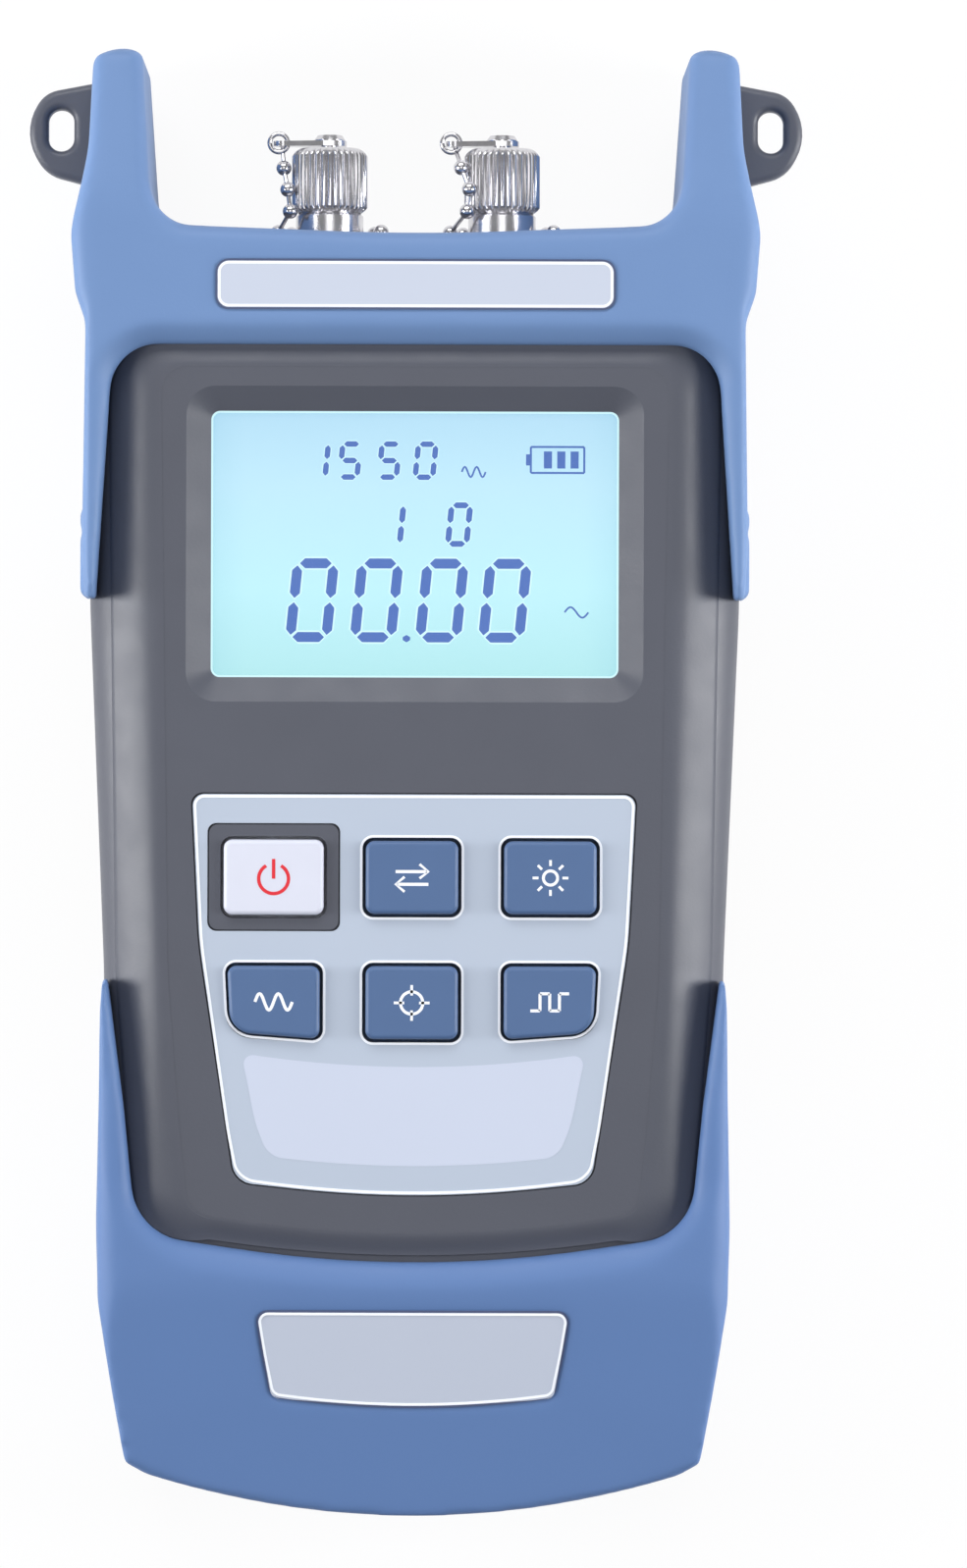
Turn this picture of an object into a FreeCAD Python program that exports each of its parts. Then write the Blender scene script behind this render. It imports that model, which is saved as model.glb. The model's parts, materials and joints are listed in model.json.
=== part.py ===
import FreeCAD
import Part

import math
import os

import Sketcher

# Handheld optical power meter with a laser fault locator, in a two-piece rubber boot.
# It lies on its back: X to its right, Y towards the fibre ports, Z out of the display.
# The origin is on the surface it rests on, under the middle of the boot.

# Driving dimensions in millimetres, and turns in degrees.
SIZES = {
    # Case seen from the front: half widths at four stations, and the two ends.
    "case_top": 71.5,
    "case_bottom": 97.4,
    "top_half": 43.55,
    "top_round": 9.5,
    "shoulder_half": 43.95,
    "shoulder_y": 24.0,
    "waist_half": 41.9,
    "waist_y": -26.0,
    "hip_half": 41.85,
    "hip_y": -70.0,
    "foot_half": 37.4,
    "foot_round": 8.8,
    "foot_bow": 128.4,
    "foot_bow_half": 31.0,
    "side_round": 120.0,
    # Levels from the back to the front.
    "boot_back": 1.5,
    "rear_depth": 19.5,
    "front_depth": 15.8,
    "face_rise": 1.7,
    "boot_step": 2.5,
    "wall": 2.0,
    "front_round": 8.0,
    "ceiling_step": 3.0,
    "ceiling_step_height": 3.6,
    "back_round": 4.0,
    # Raised face of the front housing.
    "face_half": 34.5,
    "face_waist_half": 33.4,
    "face_foot_half": 30.6,
    "face_top": 55.8,
    "face_bottom": 61.3,
    "face_bow": 162.0,
    "face_bow_half": 23.0,
    "face_side_slope": 1.5,
    "face_end_slope": 2.4,
    "face_round": 4.0,
    # Display.
    "lcd_width": 54.8,
    "lcd_height": 35.8,
    "lcd_y": 31.6,
    "lcd_corner": 1.2,
    "bevel_width": 3.3,
    "bevel_depth": 1.6,
    "bevel_corner": 4.0,
    "lens_lip": 2.0,
    "lens_base": 1.4,
    "lens_sink": 0.6,
    "glass_thick": 2.8,
    "backlight_thick": 2.6,
    "frame_wall": 1.3,
    "zebra_width": 2.4,
    # Keypad.
    "plate_top_y": -2.0,
    "plate_top_half": 29.8,
    "plate_waist_half": 28.8,
    "plate_waist_y": -22.0,
    "plate_foot_half": 23.9,
    "plate_bottom": 55.8,
    "plate_bow": 150.0,
    "plate_bow_half": 16.0,
    "plate_sink": 1.0,
    "plate_thick": 0.8,
    "key_pitch_x": 18.55,
    "key_column_shift": -0.25,
    "key_row_y": -13.15,
    "key_pitch_y": 16.8,
    "power_width": 13.4,
    "power_height": 10.1,
    "power_frame": 1.55,
    "power_frame_rise": 0.9,
    "key_width": 12.4,
    "key_height": 9.8,
    "key_corner": 1.2,
    "key_big_corner": 3.2,
    "key_slant": 0.9,
    "key_gap": 0.45,
    "key_rise": 1.1,
    "key_edge": 0.6,
    "key_flange": 1.3,
    "key_flange_thick": 1.2,
    "key_travel": 0.9,
    "key_stem": 2.2,
    "running_gap": 0.3,
    # Board and switches.
    "board_thick": 1.6,
    "board_depth": 7.2,
    "board_half": 29.0,
    "board_top_y": 62.6,
    "board_bottom_y": -60.0,
    "switch_size": 6.0,
    "switch_body": 3.4,
    "plunger_radius": 1.7,
    "board_post_x": 25.5,
    "board_post_top_y": 59.2,
    "board_post_bottom_y": -56.4,
    "board_post_radius": 2.4,
    "board_screw_radius": 1.0,
    "board_screw_head": 1.9,
    "board_screw_head_thick": 1.2,
    "board_screw_long": 5.0,
    # Case screws.
    "screw_top_x": 33.5,
    "screw_top_y": 61.5,
    "screw_middle_x": 35.5,
    "screw_middle_y": 4.0,
    "screw_bottom_x": 26.5,
    "screw_bottom_y": -84.5,
    "boss_radius": 3.4,
    "screw_radius": 1.5,
    "screw_head": 2.7,
    "screw_head_thick": 2.0,
    "screw_sink": 6.0,
    "screw_long": 20.0,
    "screw_clear": 0.5,
    "drive_long": 3.0,
    "drive_wide": 0.8,
    "drive_deep": 1.2,
    # Batteries.
    "cell_radius": 7.1,
    "cell_long": 48.6,
    "cell_button": 2.7,
    "cell_button_long": 1.4,
    "cell_pitch": 14.7,
    "bay_side_gap": 0.5,
    "bay_end_gap": 3.2,
    "bay_y": -28.0,
    "bay_wall": 1.6,
    "cover_thick": 2.0,
    "cover_lip": 2.5,
    "cover_gap": 0.3,
    "cover_corner": 0.6,
    "latch_half": 6.0,
    "latch_slit": 0.8,
    "latch_long": 7.0,
    "thumb_radius": 6.0,
    "thumb_depth": 1.1,
    "thumb_groove": 0.9,
    "thumb_groove_depth": 0.5,
    "contact_thick": 0.4,
    # Boot.
    "boot_wall": 1.6,
    "boot_toe": 2.6,
    "boot_head": 3.0,
    "boot_fit": 0.1,
    "boot_front_round": 4.4,
    "boot_back_round": 3.5,
    "boot_foot_round": 6.2,
    "top_lip_round": 0.6,
    "toe_lip_round": 1.0,
    "boot_back_lip": 6.0,
    "tongue_y": 24.2,
    "toe_y": -26.7,
    "top_window_y": 58.4,
    "top_window_inset": 2.65,
    "top_window_lean": 0.6,
    "top_window_round": 6.5,
    "window_open_inset": 1.05,
    "toe_window_inset": 0.7,
    "toe_window_waist_inset": 2.95,
    "toe_window_foot_inset": 0.2,
    "toe_window_bottom": 64.8,
    "toe_window_bow": 162.0,
    "toe_window_bow_half": 24.0,
    "toe_window_round": 8.0,
    "toe_slope_y": -68.0,
    "toe_drop": 4.6,
    "tip_taper": 1.2,
    "tip_long": 5.0,
    "grip_rise": 0.45,
    "grip_long": 8.2,
    "grip_up": 4.6,
    "grip_bar_long": 2.6,
    "grip_bar_up": 10.8,
    "grip_back": 9.0,
    "grip_front": 33.0,
    # Horns of the top boot.
    "horn_reach": 28.5,
    "horn_inset": 1.4,
    "horn_spread": 0.8,
    "horn_spread_up": 13.5,
    "horn_width": 8.1,
    "horn_lean": 1.2,
    "horn_outer_round": 4.5,
    "horn_inner_round": 2.4,
    "horn_valley_round": 5.0,
    "horn_slope_start": 6.0,
    "horn_slope_round": 30.0,
    "horn_front_drop": 4.8,
    "horn_back_drop": 3.0,
    "valley_dip": 1.3,
    "valley_bow": 300.0,
    "flange_step": 1.55,
    "flange_round": 3.0,
    "flange_low": 10.0,
    "flange_wide_low": 6.0,
    "flange_up": 2.5,
    "flange_blend": 15.0,
    "boot_edge_round": 2.2,
    # Posts and lanyard lugs of the rear housing.
    "post_inner": 38.0,
    "post_outer": 42.4,
    "post_reach": 24.6,
    "post_back": 7.0,
    "lug_y": 17.0,
    "lug_radius": 8.3,
    "lug_reach": 53.8,
    "lug_thick": 4.0,
    "lug_slot_width": 3.5,
    "lug_slot_long": 5.7,
    "lug_slot_x": 48.4,
    "lug_edge": 1.0,
    # Port end.
    "port_pitch": 23.5,
    "port_height": 20.5,
    "panel_half": 33.0,
    "panel_back_z": 7.5,
    "panel_front_z": 29.5,
    "panel_thick": 2.0,
    "panel_lip": 2.0,
    "port_flange_radius": 6.8,
    "port_flange_thick": 2.5,
    "port_neck_radius": 4.6,
    "port_shoulder": 5.6,
    "port_thread_radius": 4.0,
    "port_thread_long": 6.4,
    "port_socket_radius": 3.2,
    "port_socket_depth": 5.4,
    "ferrule_radius": 1.25,
    "sleeve_wall": 0.4,
    "sleeve_long": 9.0,
    "nut_flats": 12.0,
    "nut_thick": 2.0,
    "module_radius": 4.7,
    "module_long": 9.0,
    "laser_radius": 3.6,
    "laser_long": 22.0,
    "lead_radius": 0.3,
    # Dust caps and chains.
    "cap_radius": 5.15,
    "cap_long": 8.75,
    "cap_gap": 0.15,
    "cap_bore_depth": 6.8,
    "cap_ridges": 36,
    "ridge_depth": 0.25,
    "rivet_radius": 0.9,
    "rivet_head": 2.1,
    "rivet_head_thick": 0.6,
    "link_thick": 0.7,
    "link_radius": 2.3,
    "link_reach": 6.4,
    "eyelet_radius": 1.1,
    "ring_wire": 0.5,
    "ring_width": 1.0,
    "ball_radius": 1.05,
    "chain_pitch": 3.5,
    "chain_wire": 0.35,
    "wrap_radius": 7.2,
    # Label plates.
    "label_thick": 0.6,
    "label_sink": 0.45,
    "label_gap": 0.2,
    "top_label_width": 53.0,
    "top_label_height": 6.2,
    "top_label_y": 66.3,
    "top_label_corner": 1.5,
    "toe_label_top_half": 20.9,
    "toe_label_foot_half": 18.9,
    "toe_label_height": 12.7,
    "toe_label_down": 3.4,
}

doc = FreeCAD.newDocument("optical_power_meter")
sheet = doc.addObject("Spreadsheet::Sheet", "Sizes")
for row, (name, number) in enumerate(SIZES.items(), start=1):
    sheet.set(f"A{row}", name)
    sheet.set(f"B{row}", str(number))
    sheet.setAlias(f"B{row}", name)
doc.recompute()


class Size:
    """A number worked out from the sheet, kept with the expression that gives it."""

    def __init__(self, value, text):
        self.value = value
        self.text = text

    def __add__(self, other):
        other = as_size(other)
        return Size(self.value + other.value, f"({self.text} + {other.text})")

    def __sub__(self, other):
        other = as_size(other)
        return Size(self.value - other.value, f"({self.text} - {other.text})")

    def __mul__(self, other):
        other = as_size(other)
        return Size(self.value * other.value, f"({self.text} * {other.text})")

    def __truediv__(self, other):
        other = as_size(other)
        return Size(self.value / other.value, f"({self.text} / {other.text})")

    def __radd__(self, other):
        return as_size(other) + self

    def __rsub__(self, other):
        return as_size(other) - self

    def __rmul__(self, other):
        return as_size(other) * self

    def __neg__(self):
        return as_size(0) - self


class Sheet:
    """Gives each dimension of the sheet by its alias."""

    def __getattr__(self, name):
        return Size(float(sheet.get(name)), f"Sizes.{name}")


def as_size(number):
    """A plain number as a Size."""
    if isinstance(number, Size):
        return number
    return Size(float(number), repr(float(number)))


def root(size):
    """Square root of a Size."""
    return Size(math.sqrt(size.value), f"sqrt({size.text})")


def slope_angle(rise, run):
    """Angle in degrees of a slope."""
    share = rise / run
    return Size(math.degrees(math.atan(share.value)), f"atan({share.text})")


S = Sheet()


# Sketches and features -------------------------------------------------------------------

def bind(thing, name, size):
    """Set a property and keep it bound to the sheet."""
    thing.setExpression(name, as_size(size).text)


def new_body(name):
    """An empty body whose label is the name of the sub-part."""
    body = doc.addObject("PartDesign::Body", name)
    body.Label = name
    return body


def new_sketch(body, role, offset=0, turn=None):
    """A sketch on an origin plane of the body, moved along the plane's normal."""
    sketch = body.newObject("Sketcher::SketchObject", body.Name + "_sketch")
    plane = [item for item in body.Origin.OriginFeatures if item.Role == role][0]
    sketch.AttachmentSupport = (plane, [""])
    sketch.MapMode = "FlatFace"
    bind(sketch, "AttachmentOffset.Base.z", offset)
    if turn is not None:
        sketch.AttachmentOffset = FreeCAD.Placement(
            FreeCAD.Vector(0, turn[0].value, as_size(offset).value),
            FreeCAD.Rotation(FreeCAD.Vector(1, 0, 0), turn[1].value))
        bind(sketch, "AttachmentOffset.Base.y", turn[0])
        bind(sketch, "AttachmentOffset.Rotation.Angle", turn[1])
    return sketch


def pin_point(constraints, bound, index, position, x, y):
    """Place one sketch point by its two coordinates."""
    for kind, size in (("DistanceX", x), ("DistanceY", y)):
        bound.append((len(constraints), size))
        constraints.append(Sketcher.Constraint(kind, index, position, size.value))


def outline(sketch, corners):
    """Close an outline through corners (x, y, round): each round becomes a tangent arc."""
    corners = [tuple(as_size(part) for part in (tuple(corner) + (0,))[:3]) for corner in corners]
    count = len(corners)
    places = [FreeCAD.Vector(x.value, y.value, 0) for x, y, _ in corners]
    entries, exits, arcs = [], [], []
    for i, (x, y, radius) in enumerate(corners):
        before = (places[i] - places[i - 1]).normalize()
        after = (places[(i + 1) % count] - places[i]).normalize()
        turn = before.x * after.y - before.y * after.x
        if radius.value == 0:
            entries.append(places[i])
            exits.append(places[i])
            arcs.append(None)
            continue
        reach = radius.value * math.tan(math.atan2(abs(turn), before.dot(after)) / 2)
        start = places[i] - before * reach
        end = places[i] + after * reach
        left = turn > 0
        inward = FreeCAD.Vector(-before.y, before.x, 0) * (1 if left else -1)
        centre = start + inward * radius.value
        first, last = (start, end) if left else (end, start)
        circle = Part.Circle(centre, FreeCAD.Vector(0, 0, 1), radius.value)
        arcs.append((Part.ArcOfCircle(circle, circle.parameter(first),
                                      circle.parameter(last)), left))
        entries.append(start)
        exits.append(end)
    base = sketch.GeometryCount
    shift = sketch.ConstraintCount
    lines = [Part.LineSegment(exits[i], entries[(i + 1) % count]) for i in range(count)]
    sketch.addGeometry(lines, False)
    constraints, bound = [], []
    for i, (x, y, radius) in enumerate(corners):
        line_in = base + (i - 1) % count
        line_out = base + i
        if arcs[i] is None:
            constraints.append(Sketcher.Constraint("Coincident", line_in, 2, line_out, 1))
            pin_point(constraints, bound, line_out, 1, x, y)
            continue
        curve, left = arcs[i]
        arc = sketch.addGeometry(curve, False)
        point = sketch.addGeometry(Part.Point(places[i]), True)
        first, last = (1, 2) if left else (2, 1)
        constraints.append(Sketcher.Constraint("Tangent", line_in, 2, arc, first))
        constraints.append(Sketcher.Constraint("Tangent", arc, last, line_out, 1))
        constraints.append(Sketcher.Constraint("PointOnObject", point, 1, line_in))
        constraints.append(Sketcher.Constraint("PointOnObject", point, 1, line_out))
        bound.append((len(constraints), radius))
        constraints.append(Sketcher.Constraint("Radius", arc, radius.value))
        pin_point(constraints, bound, point, 1, x, y)
    sketch.addConstraint(constraints)
    for index, size in bound:
        sketch.setExpression(f"Constraints[{shift + index}]", size.text)
    return sketch


def circle(sketch, x, y, radius):
    """A full circle placed by its centre."""
    x, y, radius = as_size(x), as_size(y), as_size(radius)
    index = sketch.addGeometry(
        Part.Circle(FreeCAD.Vector(x.value, y.value, 0), FreeCAD.Vector(0, 0, 1), radius.value),
        False)
    shift = sketch.ConstraintCount
    constraints, bound = [], []
    pin_point(constraints, bound, index, 3, x, y)
    bound.append((len(constraints), radius))
    constraints.append(Sketcher.Constraint("Radius", index, radius.value))
    sketch.addConstraint(constraints)
    for place, size in bound:
        sketch.setExpression(f"Constraints[{shift + place}]", size.text)
    return sketch


def box_corners(x, y, width, height, radius=0):
    """Corners of a rectangle about a centre."""
    x, y = as_size(x), as_size(y)
    across, along = width / 2, height / 2
    return [(x - across, y - along, radius), (x + across, y - along, radius),
            (x + across, y + along, radius), (x - across, y + along, radius)]


def both_sides(corners):
    """An outline given by its right half, bottom to top, with its left half added."""
    left = [(-as_size(x), y, r) for x, y, r in reversed(corners) if as_size(x).value != 0]
    return list(corners) + left


def bowed(tip, bow, half, foot_x):
    """Apex and foot corners of an edge that bows down to y = -tip with the radius bow."""
    rise = root(bow * bow - half * half)
    apex = -tip - (bow * bow / rise - bow)
    return apex, apex + as_size(foot_x) * half / rise


def extrude(kind, body, sketch, length, up):
    """A pad or a pocket from a sketch, towards the sketch's normal when up is true."""
    feature = body.newObject("PartDesign::" + kind, f"{body.Name}_{kind.lower()}")
    feature.Profile = sketch
    feature.Reversed = (kind == "Pocket") == up
    bind(feature, "Length", length)
    sketch.Visibility = False
    return feature


def pad(body, sketch, length, up=True):
    """Add a prism."""
    return extrude("Pad", body, sketch, length, up)


def slab(body, corners, bottom, height, cut=False, role="XY_Plane"):
    """A prism on corners from the level bottom, added or cut."""
    sketch = outline(new_sketch(body, role, bottom), corners)
    return extrude("Pocket" if cut else "Pad", body, sketch, height, True)


def pegs(body, centres, radius, bottom, height, cut=False, role="XY_Plane"):
    """Round prisms at several centres, added or cut."""
    sketch = new_sketch(body, role, bottom)
    for x, y in centres:
        circle(sketch, x, y, radius)
    return extrude("Pocket" if cut else "Pad", body, sketch, height, True)


def turned(body, profile, cut=False):
    """A solid of revolution about the body's Z axis, from (radius, height) corners."""
    sketch = outline(new_sketch(body, "XZ_Plane"), profile)
    kind = "Groove" if cut else "Revolution"
    feature = body.newObject("PartDesign::" + kind, f"{body.Name}_{kind.lower()}")
    feature.Profile = sketch
    feature.ReferenceAxis = (sketch, ["V_Axis"])
    feature.Angle = 360
    sketch.Visibility = False
    return feature


def lofted(body, sections, cut=False):
    """A loft through (corners, level) sections."""
    sketches = [outline(new_sketch(body, "XY_Plane", level), corners)
                for corners, level in sections]
    kind = "SubtractiveLoft" if cut else "AdditiveLoft"
    feature = body.newObject("PartDesign::" + kind, body.Name + "_loft")
    feature.Profile = sketches[0]
    feature.Sections = sketches[1:]
    feature.Ruled = True
    return feature


def edges_where(feature, test):
    """Names of the edges whose bounding box passes a test."""
    return [f"Edge{number}" for number, edge in enumerate(feature.Shape.Edges, start=1)
            if test(edge.BoundBox)]


def edges_at(feature, level):
    """Names of the edges that lie at one height."""
    return edges_where(feature, lambda box: abs(box.ZMin - level.value) < 1e-4
                       and abs(box.ZMax - level.value) < 1e-4)


def rounded(body, feature, names, radius, kind="Fillet"):
    """Round or chamfer named edges of the last feature."""
    dressed = body.newObject("PartDesign::" + kind, f"{body.Name}_{kind.lower()}")
    dressed.Base = (feature, names)
    bind(dressed, "Radius" if kind == "Fillet" else "Size", radius)
    doc.recompute()
    return dressed


def placed(thing, x=0, y=0, z=0, axis=None, angle=0):
    """Move a sub-part to its seat, bound to the sheet."""
    x, y, z, angle = as_size(x), as_size(y), as_size(z), as_size(angle)
    rotation = FreeCAD.Rotation(axis or FreeCAD.Vector(0, 0, 1), angle.value)
    thing.Placement = FreeCAD.Placement(
        FreeCAD.Vector(x.value, y.value, z.value), rotation)
    for letter, size in (("x", x), ("y", y), ("z", z)):
        bind(thing, f"Placement.Base.{letter}", size)
    if angle.value and "atan" in angle.text:
        bind(thing, "Placement.Rotation.Angle", angle)
    return thing


# Levels and outlines ---------------------------------------------------------------------

CASE_BACK = S.boot_back
PARTING = CASE_BACK + S.rear_depth
CASE_FRONT = PARTING + S.front_depth
FACE = CASE_FRONT + S.face_rise
BOOT_FRONT = FACE + S.boot_step
CEILING = CASE_FRONT - S.wall
FLOOR = CASE_BACK + S.wall
BOARD_FRONT = CEILING - S.board_depth
BOARD_BACK = BOARD_FRONT - S.board_thick
HEAD_LEVEL = CASE_BACK + S.screw_sink
SIDE = (("left", -1), ("right", 1))


def case_outline(grow, toe=None, head=None, foot_round=None, top_round=None):
    """The case seen from the front, moved out by grow, by toe at the foot and head at the top."""
    toe = grow if toe is None else toe
    head = grow if head is None else head
    foot_x = S.foot_half + grow
    apex, foot_y = bowed(S.case_bottom + toe, S.foot_bow + toe, S.foot_bow_half + grow, foot_x)
    return both_sides([
        (0, apex, S.foot_bow + toe),
        (foot_x, foot_y, S.foot_round + grow if foot_round is None else foot_round),
        (S.hip_half + grow, S.hip_y, S.side_round),
        (S.waist_half + grow, S.waist_y, S.side_round),
        (S.shoulder_half + grow, S.shoulder_y, S.side_round),
        (S.top_half + grow, S.case_top + head,
         S.top_round + grow if top_round is None else top_round),
    ])


def case_block(body, corners, bottom, top, front_round=None, back_round=None):
    """A block on the case outline with its front and back edges rounded."""
    feature = slab(body, corners, bottom, top - bottom)
    doc.recompute()
    if front_round is not None:
        feature = rounded(body, feature, edges_at(feature, as_size(top)), front_round)
    if back_round is not None:
        feature = rounded(body, feature, edges_at(feature, as_size(bottom)), back_round)
    return feature


def face_outline(side_grow, end_grow):
    """Raised face of the front housing, moved out at its sides and ends."""
    foot_x = S.face_foot_half + side_grow
    apex, foot_y = bowed(S.face_bottom + end_grow, S.face_bow + end_grow,
                         S.face_bow_half, foot_x)
    return both_sides([
        (0, apex, S.face_bow + end_grow),
        (foot_x, foot_y, S.face_round + end_grow),
        (S.face_waist_half + side_grow, S.waist_y, S.side_round),
        (S.face_half + side_grow, S.face_top + end_grow, S.face_round),
    ])


def plate_outline(grow):
    """Keypad plate and, moved out, its recess."""
    foot_x = S.plate_foot_half + grow
    apex, foot_y = bowed(S.plate_bottom + grow, S.plate_bow, S.plate_bow_half, foot_x)
    return both_sides([
        (0, apex, S.plate_bow),
        (foot_x, foot_y, 3 + grow),
        (S.plate_waist_half + grow, S.plate_waist_y, 60),
        (S.plate_top_half + grow, S.plate_top_y + grow, 1.6),
    ])


# Keys ------------------------------------------------------------------------------------

def key_outline(x, y, width, height, grow, slant=0):
    """One key, moved out by grow; slant 1 or -1 rounds off its outer lower corner."""
    across, along = width / 2 + grow, height / 2 + grow
    corner = S.key_corner + grow
    if not slant:
        return box_corners(x, y, across * 2, along * 2, corner)
    big = S.key_big_corner + grow
    lift = S.key_slant
    low = [(-across + lift / 2, -along + lift, big), (across, -along, corner),
           (across, along, corner), (-across, along, corner)]
    if slant > 0:
        low = [(-px, py, r) for px, py, r in reversed(low)]
    return [(x + px, y + py, r) for px, py, r in low]


def key_list():
    """Name, centre, size and slant of the six keys."""
    left = S.key_column_shift - S.key_pitch_x
    middle = S.key_column_shift
    right = S.key_column_shift + S.key_pitch_x
    upper, lower = S.key_row_y, S.key_row_y - S.key_pitch_y
    wide, tall = S.key_width, S.key_height
    return [
        ("power_key", left, upper, S.power_width, S.power_height, 0),
        ("upper_middle_key", middle, upper, wide, tall, 0),
        ("upper_right_key", right, upper, wide, tall, 0),
        ("lower_left_key", left, lower, wide, tall, -1),
        ("lower_middle_key", middle, lower, wide, tall, 0),
        ("lower_right_key", right, lower, wide, tall, 1),
    ]


def case_screw_places():
    """Plan places of the six case screws."""
    return [(side * x, y) for x, y in (
        (S.screw_top_x, S.screw_top_y), (S.screw_middle_x, S.screw_middle_y),
        (S.screw_bottom_x, S.screw_bottom_y)) for _, side in SIDE]


def board_screw_places():
    """Plan places of the four board screws."""
    return [(side * S.board_post_x, y) for y in (S.board_post_top_y, S.board_post_bottom_y)
            for _, side in SIDE]


def make_key(name, x, y, width, height, slant):
    """A hollowless key cap with a flange under the housing wall and a stem over its switch."""
    body = new_body(name)
    flange_front = CEILING - S.running_gap
    top = FACE + S.key_rise
    flange = key_outline(x, y, width, height, S.key_flange, slant)
    slab(body, flange, flange_front - S.key_flange_thick, S.key_flange_thick)
    cap = slab(body, key_outline(x, y, width, height, 0, slant), flange_front,
               top - flange_front)
    doc.recompute()
    rounded(body, cap, edges_at(cap, top), S.key_edge)
    plunger_front = BOARD_FRONT + S.switch_body
    stem_low = plunger_front + S.key_travel + S.running_gap
    pegs(body, [(x, y)], S.key_stem, stem_low,
         flange_front - S.key_flange_thick - stem_low)
    return body


# Housings --------------------------------------------------------------------------------

def panel_opening(body, bottom, height):
    """Opening for the port panel in the top end of a housing, from bottom upwards."""
    back = S.case_top - S.wall
    slab(body, box_corners(0, back + S.wall, (S.panel_half + S.boot_fit) * 2, S.wall * 4),
         bottom, height, cut=True)


def make_front_housing():
    """Moulded front shell: raised face, display window, keypad recess and bosses."""
    body = new_body("front_housing")
    case_block(body, case_outline(0), PARTING, CASE_FRONT, front_round=S.front_round)
    lofted(body, [(face_outline(S.face_side_slope, S.face_end_slope), CASE_FRONT - 0.4),
                  (face_outline(0, 0), FACE)])
    step_level = CEILING - S.ceiling_step_height
    slab(body, case_outline(-S.wall), PARTING, step_level - PARTING, cut=True)
    slab(body, case_outline(-S.wall - S.ceiling_step), PARTING, CEILING - PARTING, cut=True)
    outer = box_corners(0, S.lcd_y, S.lcd_width + S.bevel_width * 2,
                        S.lcd_height + S.bevel_width * 2, S.bevel_corner)
    inner = box_corners(0, S.lcd_y, S.lcd_width, S.lcd_height, S.lcd_corner)
    lofted(body, [(outer, FACE), (inner, FACE - S.bevel_depth)], cut=True)
    slab(body, inner, CEILING, FACE - CEILING, cut=True)
    slab(body, plate_outline(S.label_gap), FACE - S.plate_sink, S.plate_sink, cut=True)
    keys = key_list()
    _, x, y, width, height, _ = keys[0]
    frame = S.key_gap + S.power_frame
    slab(body, box_corners(x, y, width + frame * 2, height + frame * 2, S.key_corner),
         FACE - S.plate_sink, S.power_frame_rise)
    for _, x, y, width, height, slant in keys:
        slab(body, key_outline(x, y, width, height, S.key_gap, slant), CEILING,
             FACE + S.plate_sink - CEILING, cut=True)
    pegs(body, case_screw_places(), S.boss_radius, PARTING, CEILING - PARTING)
    pegs(body, board_screw_places(), S.board_post_radius, BOARD_FRONT, CEILING - BOARD_FRONT)
    pegs(body, case_screw_places(), S.screw_radius, PARTING,
         HEAD_LEVEL + S.screw_long + S.screw_clear - PARTING, cut=True)
    pegs(body, board_screw_places(), S.board_screw_radius, BOARD_FRONT,
         S.board_screw_long - S.board_thick + 0.4, cut=True)
    panel_opening(body, PARTING, S.panel_front_z + S.boot_fit - PARTING)
    return body


BAY_HALF = S.cell_pitch + S.cell_radius + S.bay_side_gap
BAY_LONG = S.cell_long + S.cell_button_long + S.bay_end_gap * 2
BAY_FRONT = FLOOR + S.cell_radius * 2 + 0.8
COVER_HALF = BAY_LONG / 2 + S.cover_lip - S.cover_gap
COVER_TOP = S.bay_y + COVER_HALF
HINGE_Y = S.bay_y - COVER_HALF + S.cover_thick / 2


def make_rear_housing():
    """Moulded rear shell with battery bay, horn posts and lanyard lugs."""
    body = new_body("rear_housing")
    case_block(body, case_outline(0), CASE_BACK, PARTING, back_round=S.back_round)
    slab(body, case_outline(-S.wall), FLOOR, PARTING - FLOOR, cut=True)
    wall = S.bay_wall
    rim = S.cover_lip + wall
    slab(body, box_corners(0, S.bay_y, (BAY_HALF + rim) * 2, BAY_LONG + rim * 2, 1), FLOOR,
         wall)
    slab(body, box_corners(0, S.bay_y, (BAY_HALF + wall) * 2, BAY_LONG + wall * 2, 1),
         FLOOR, BAY_FRONT + wall - FLOOR)
    slab(body, box_corners(0, S.bay_y, BAY_HALF * 2, BAY_LONG), CASE_BACK,
         BAY_FRONT - CASE_BACK, cut=True)
    lip = S.cover_lip
    slab(body, box_corners(0, S.bay_y, (BAY_HALF + lip) * 2, BAY_LONG + lip * 2,
                           S.cover_corner), CASE_BACK, S.cover_thick, cut=True)
    pegs(body, case_screw_places(), S.boss_radius, CASE_BACK + S.back_round / 2,
         PARTING - CASE_BACK - S.back_round / 2)
    pegs(body, case_screw_places(), S.screw_head + 0.3, CASE_BACK, S.screw_sink, cut=True)
    pegs(body, case_screw_places(), S.screw_radius + 0.2, HEAD_LEVEL,
         PARTING - HEAD_LEVEL, cut=True)
    panel_opening(body, S.panel_back_z - S.boot_fit, PARTING - S.panel_back_z + S.boot_fit)
    for _, side in SIDE:
        add_post(body, side, 0)
    pegs(body, [(0, COVER_TOP)], S.thumb_radius, CASE_BACK, S.thumb_depth, cut=True)
    last = cut_lug_slots(body)
    doc.recompute()
    rounded(body, last, edges_where(
        last, lambda box: box.ZMax - box.ZMin < 0.01
        and box.ZMin > (PARTING - S.lug_thick).value - 0.01 and box.YMin > S.case_top.value + 1
        and min(abs(box.XMin), abs(box.XMax)) > S.post_outer.value - 0.01
        and max(abs(box.XMin), abs(box.XMax)) > S.post_outer.value + 0.5), S.lug_edge)
    return body


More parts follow.
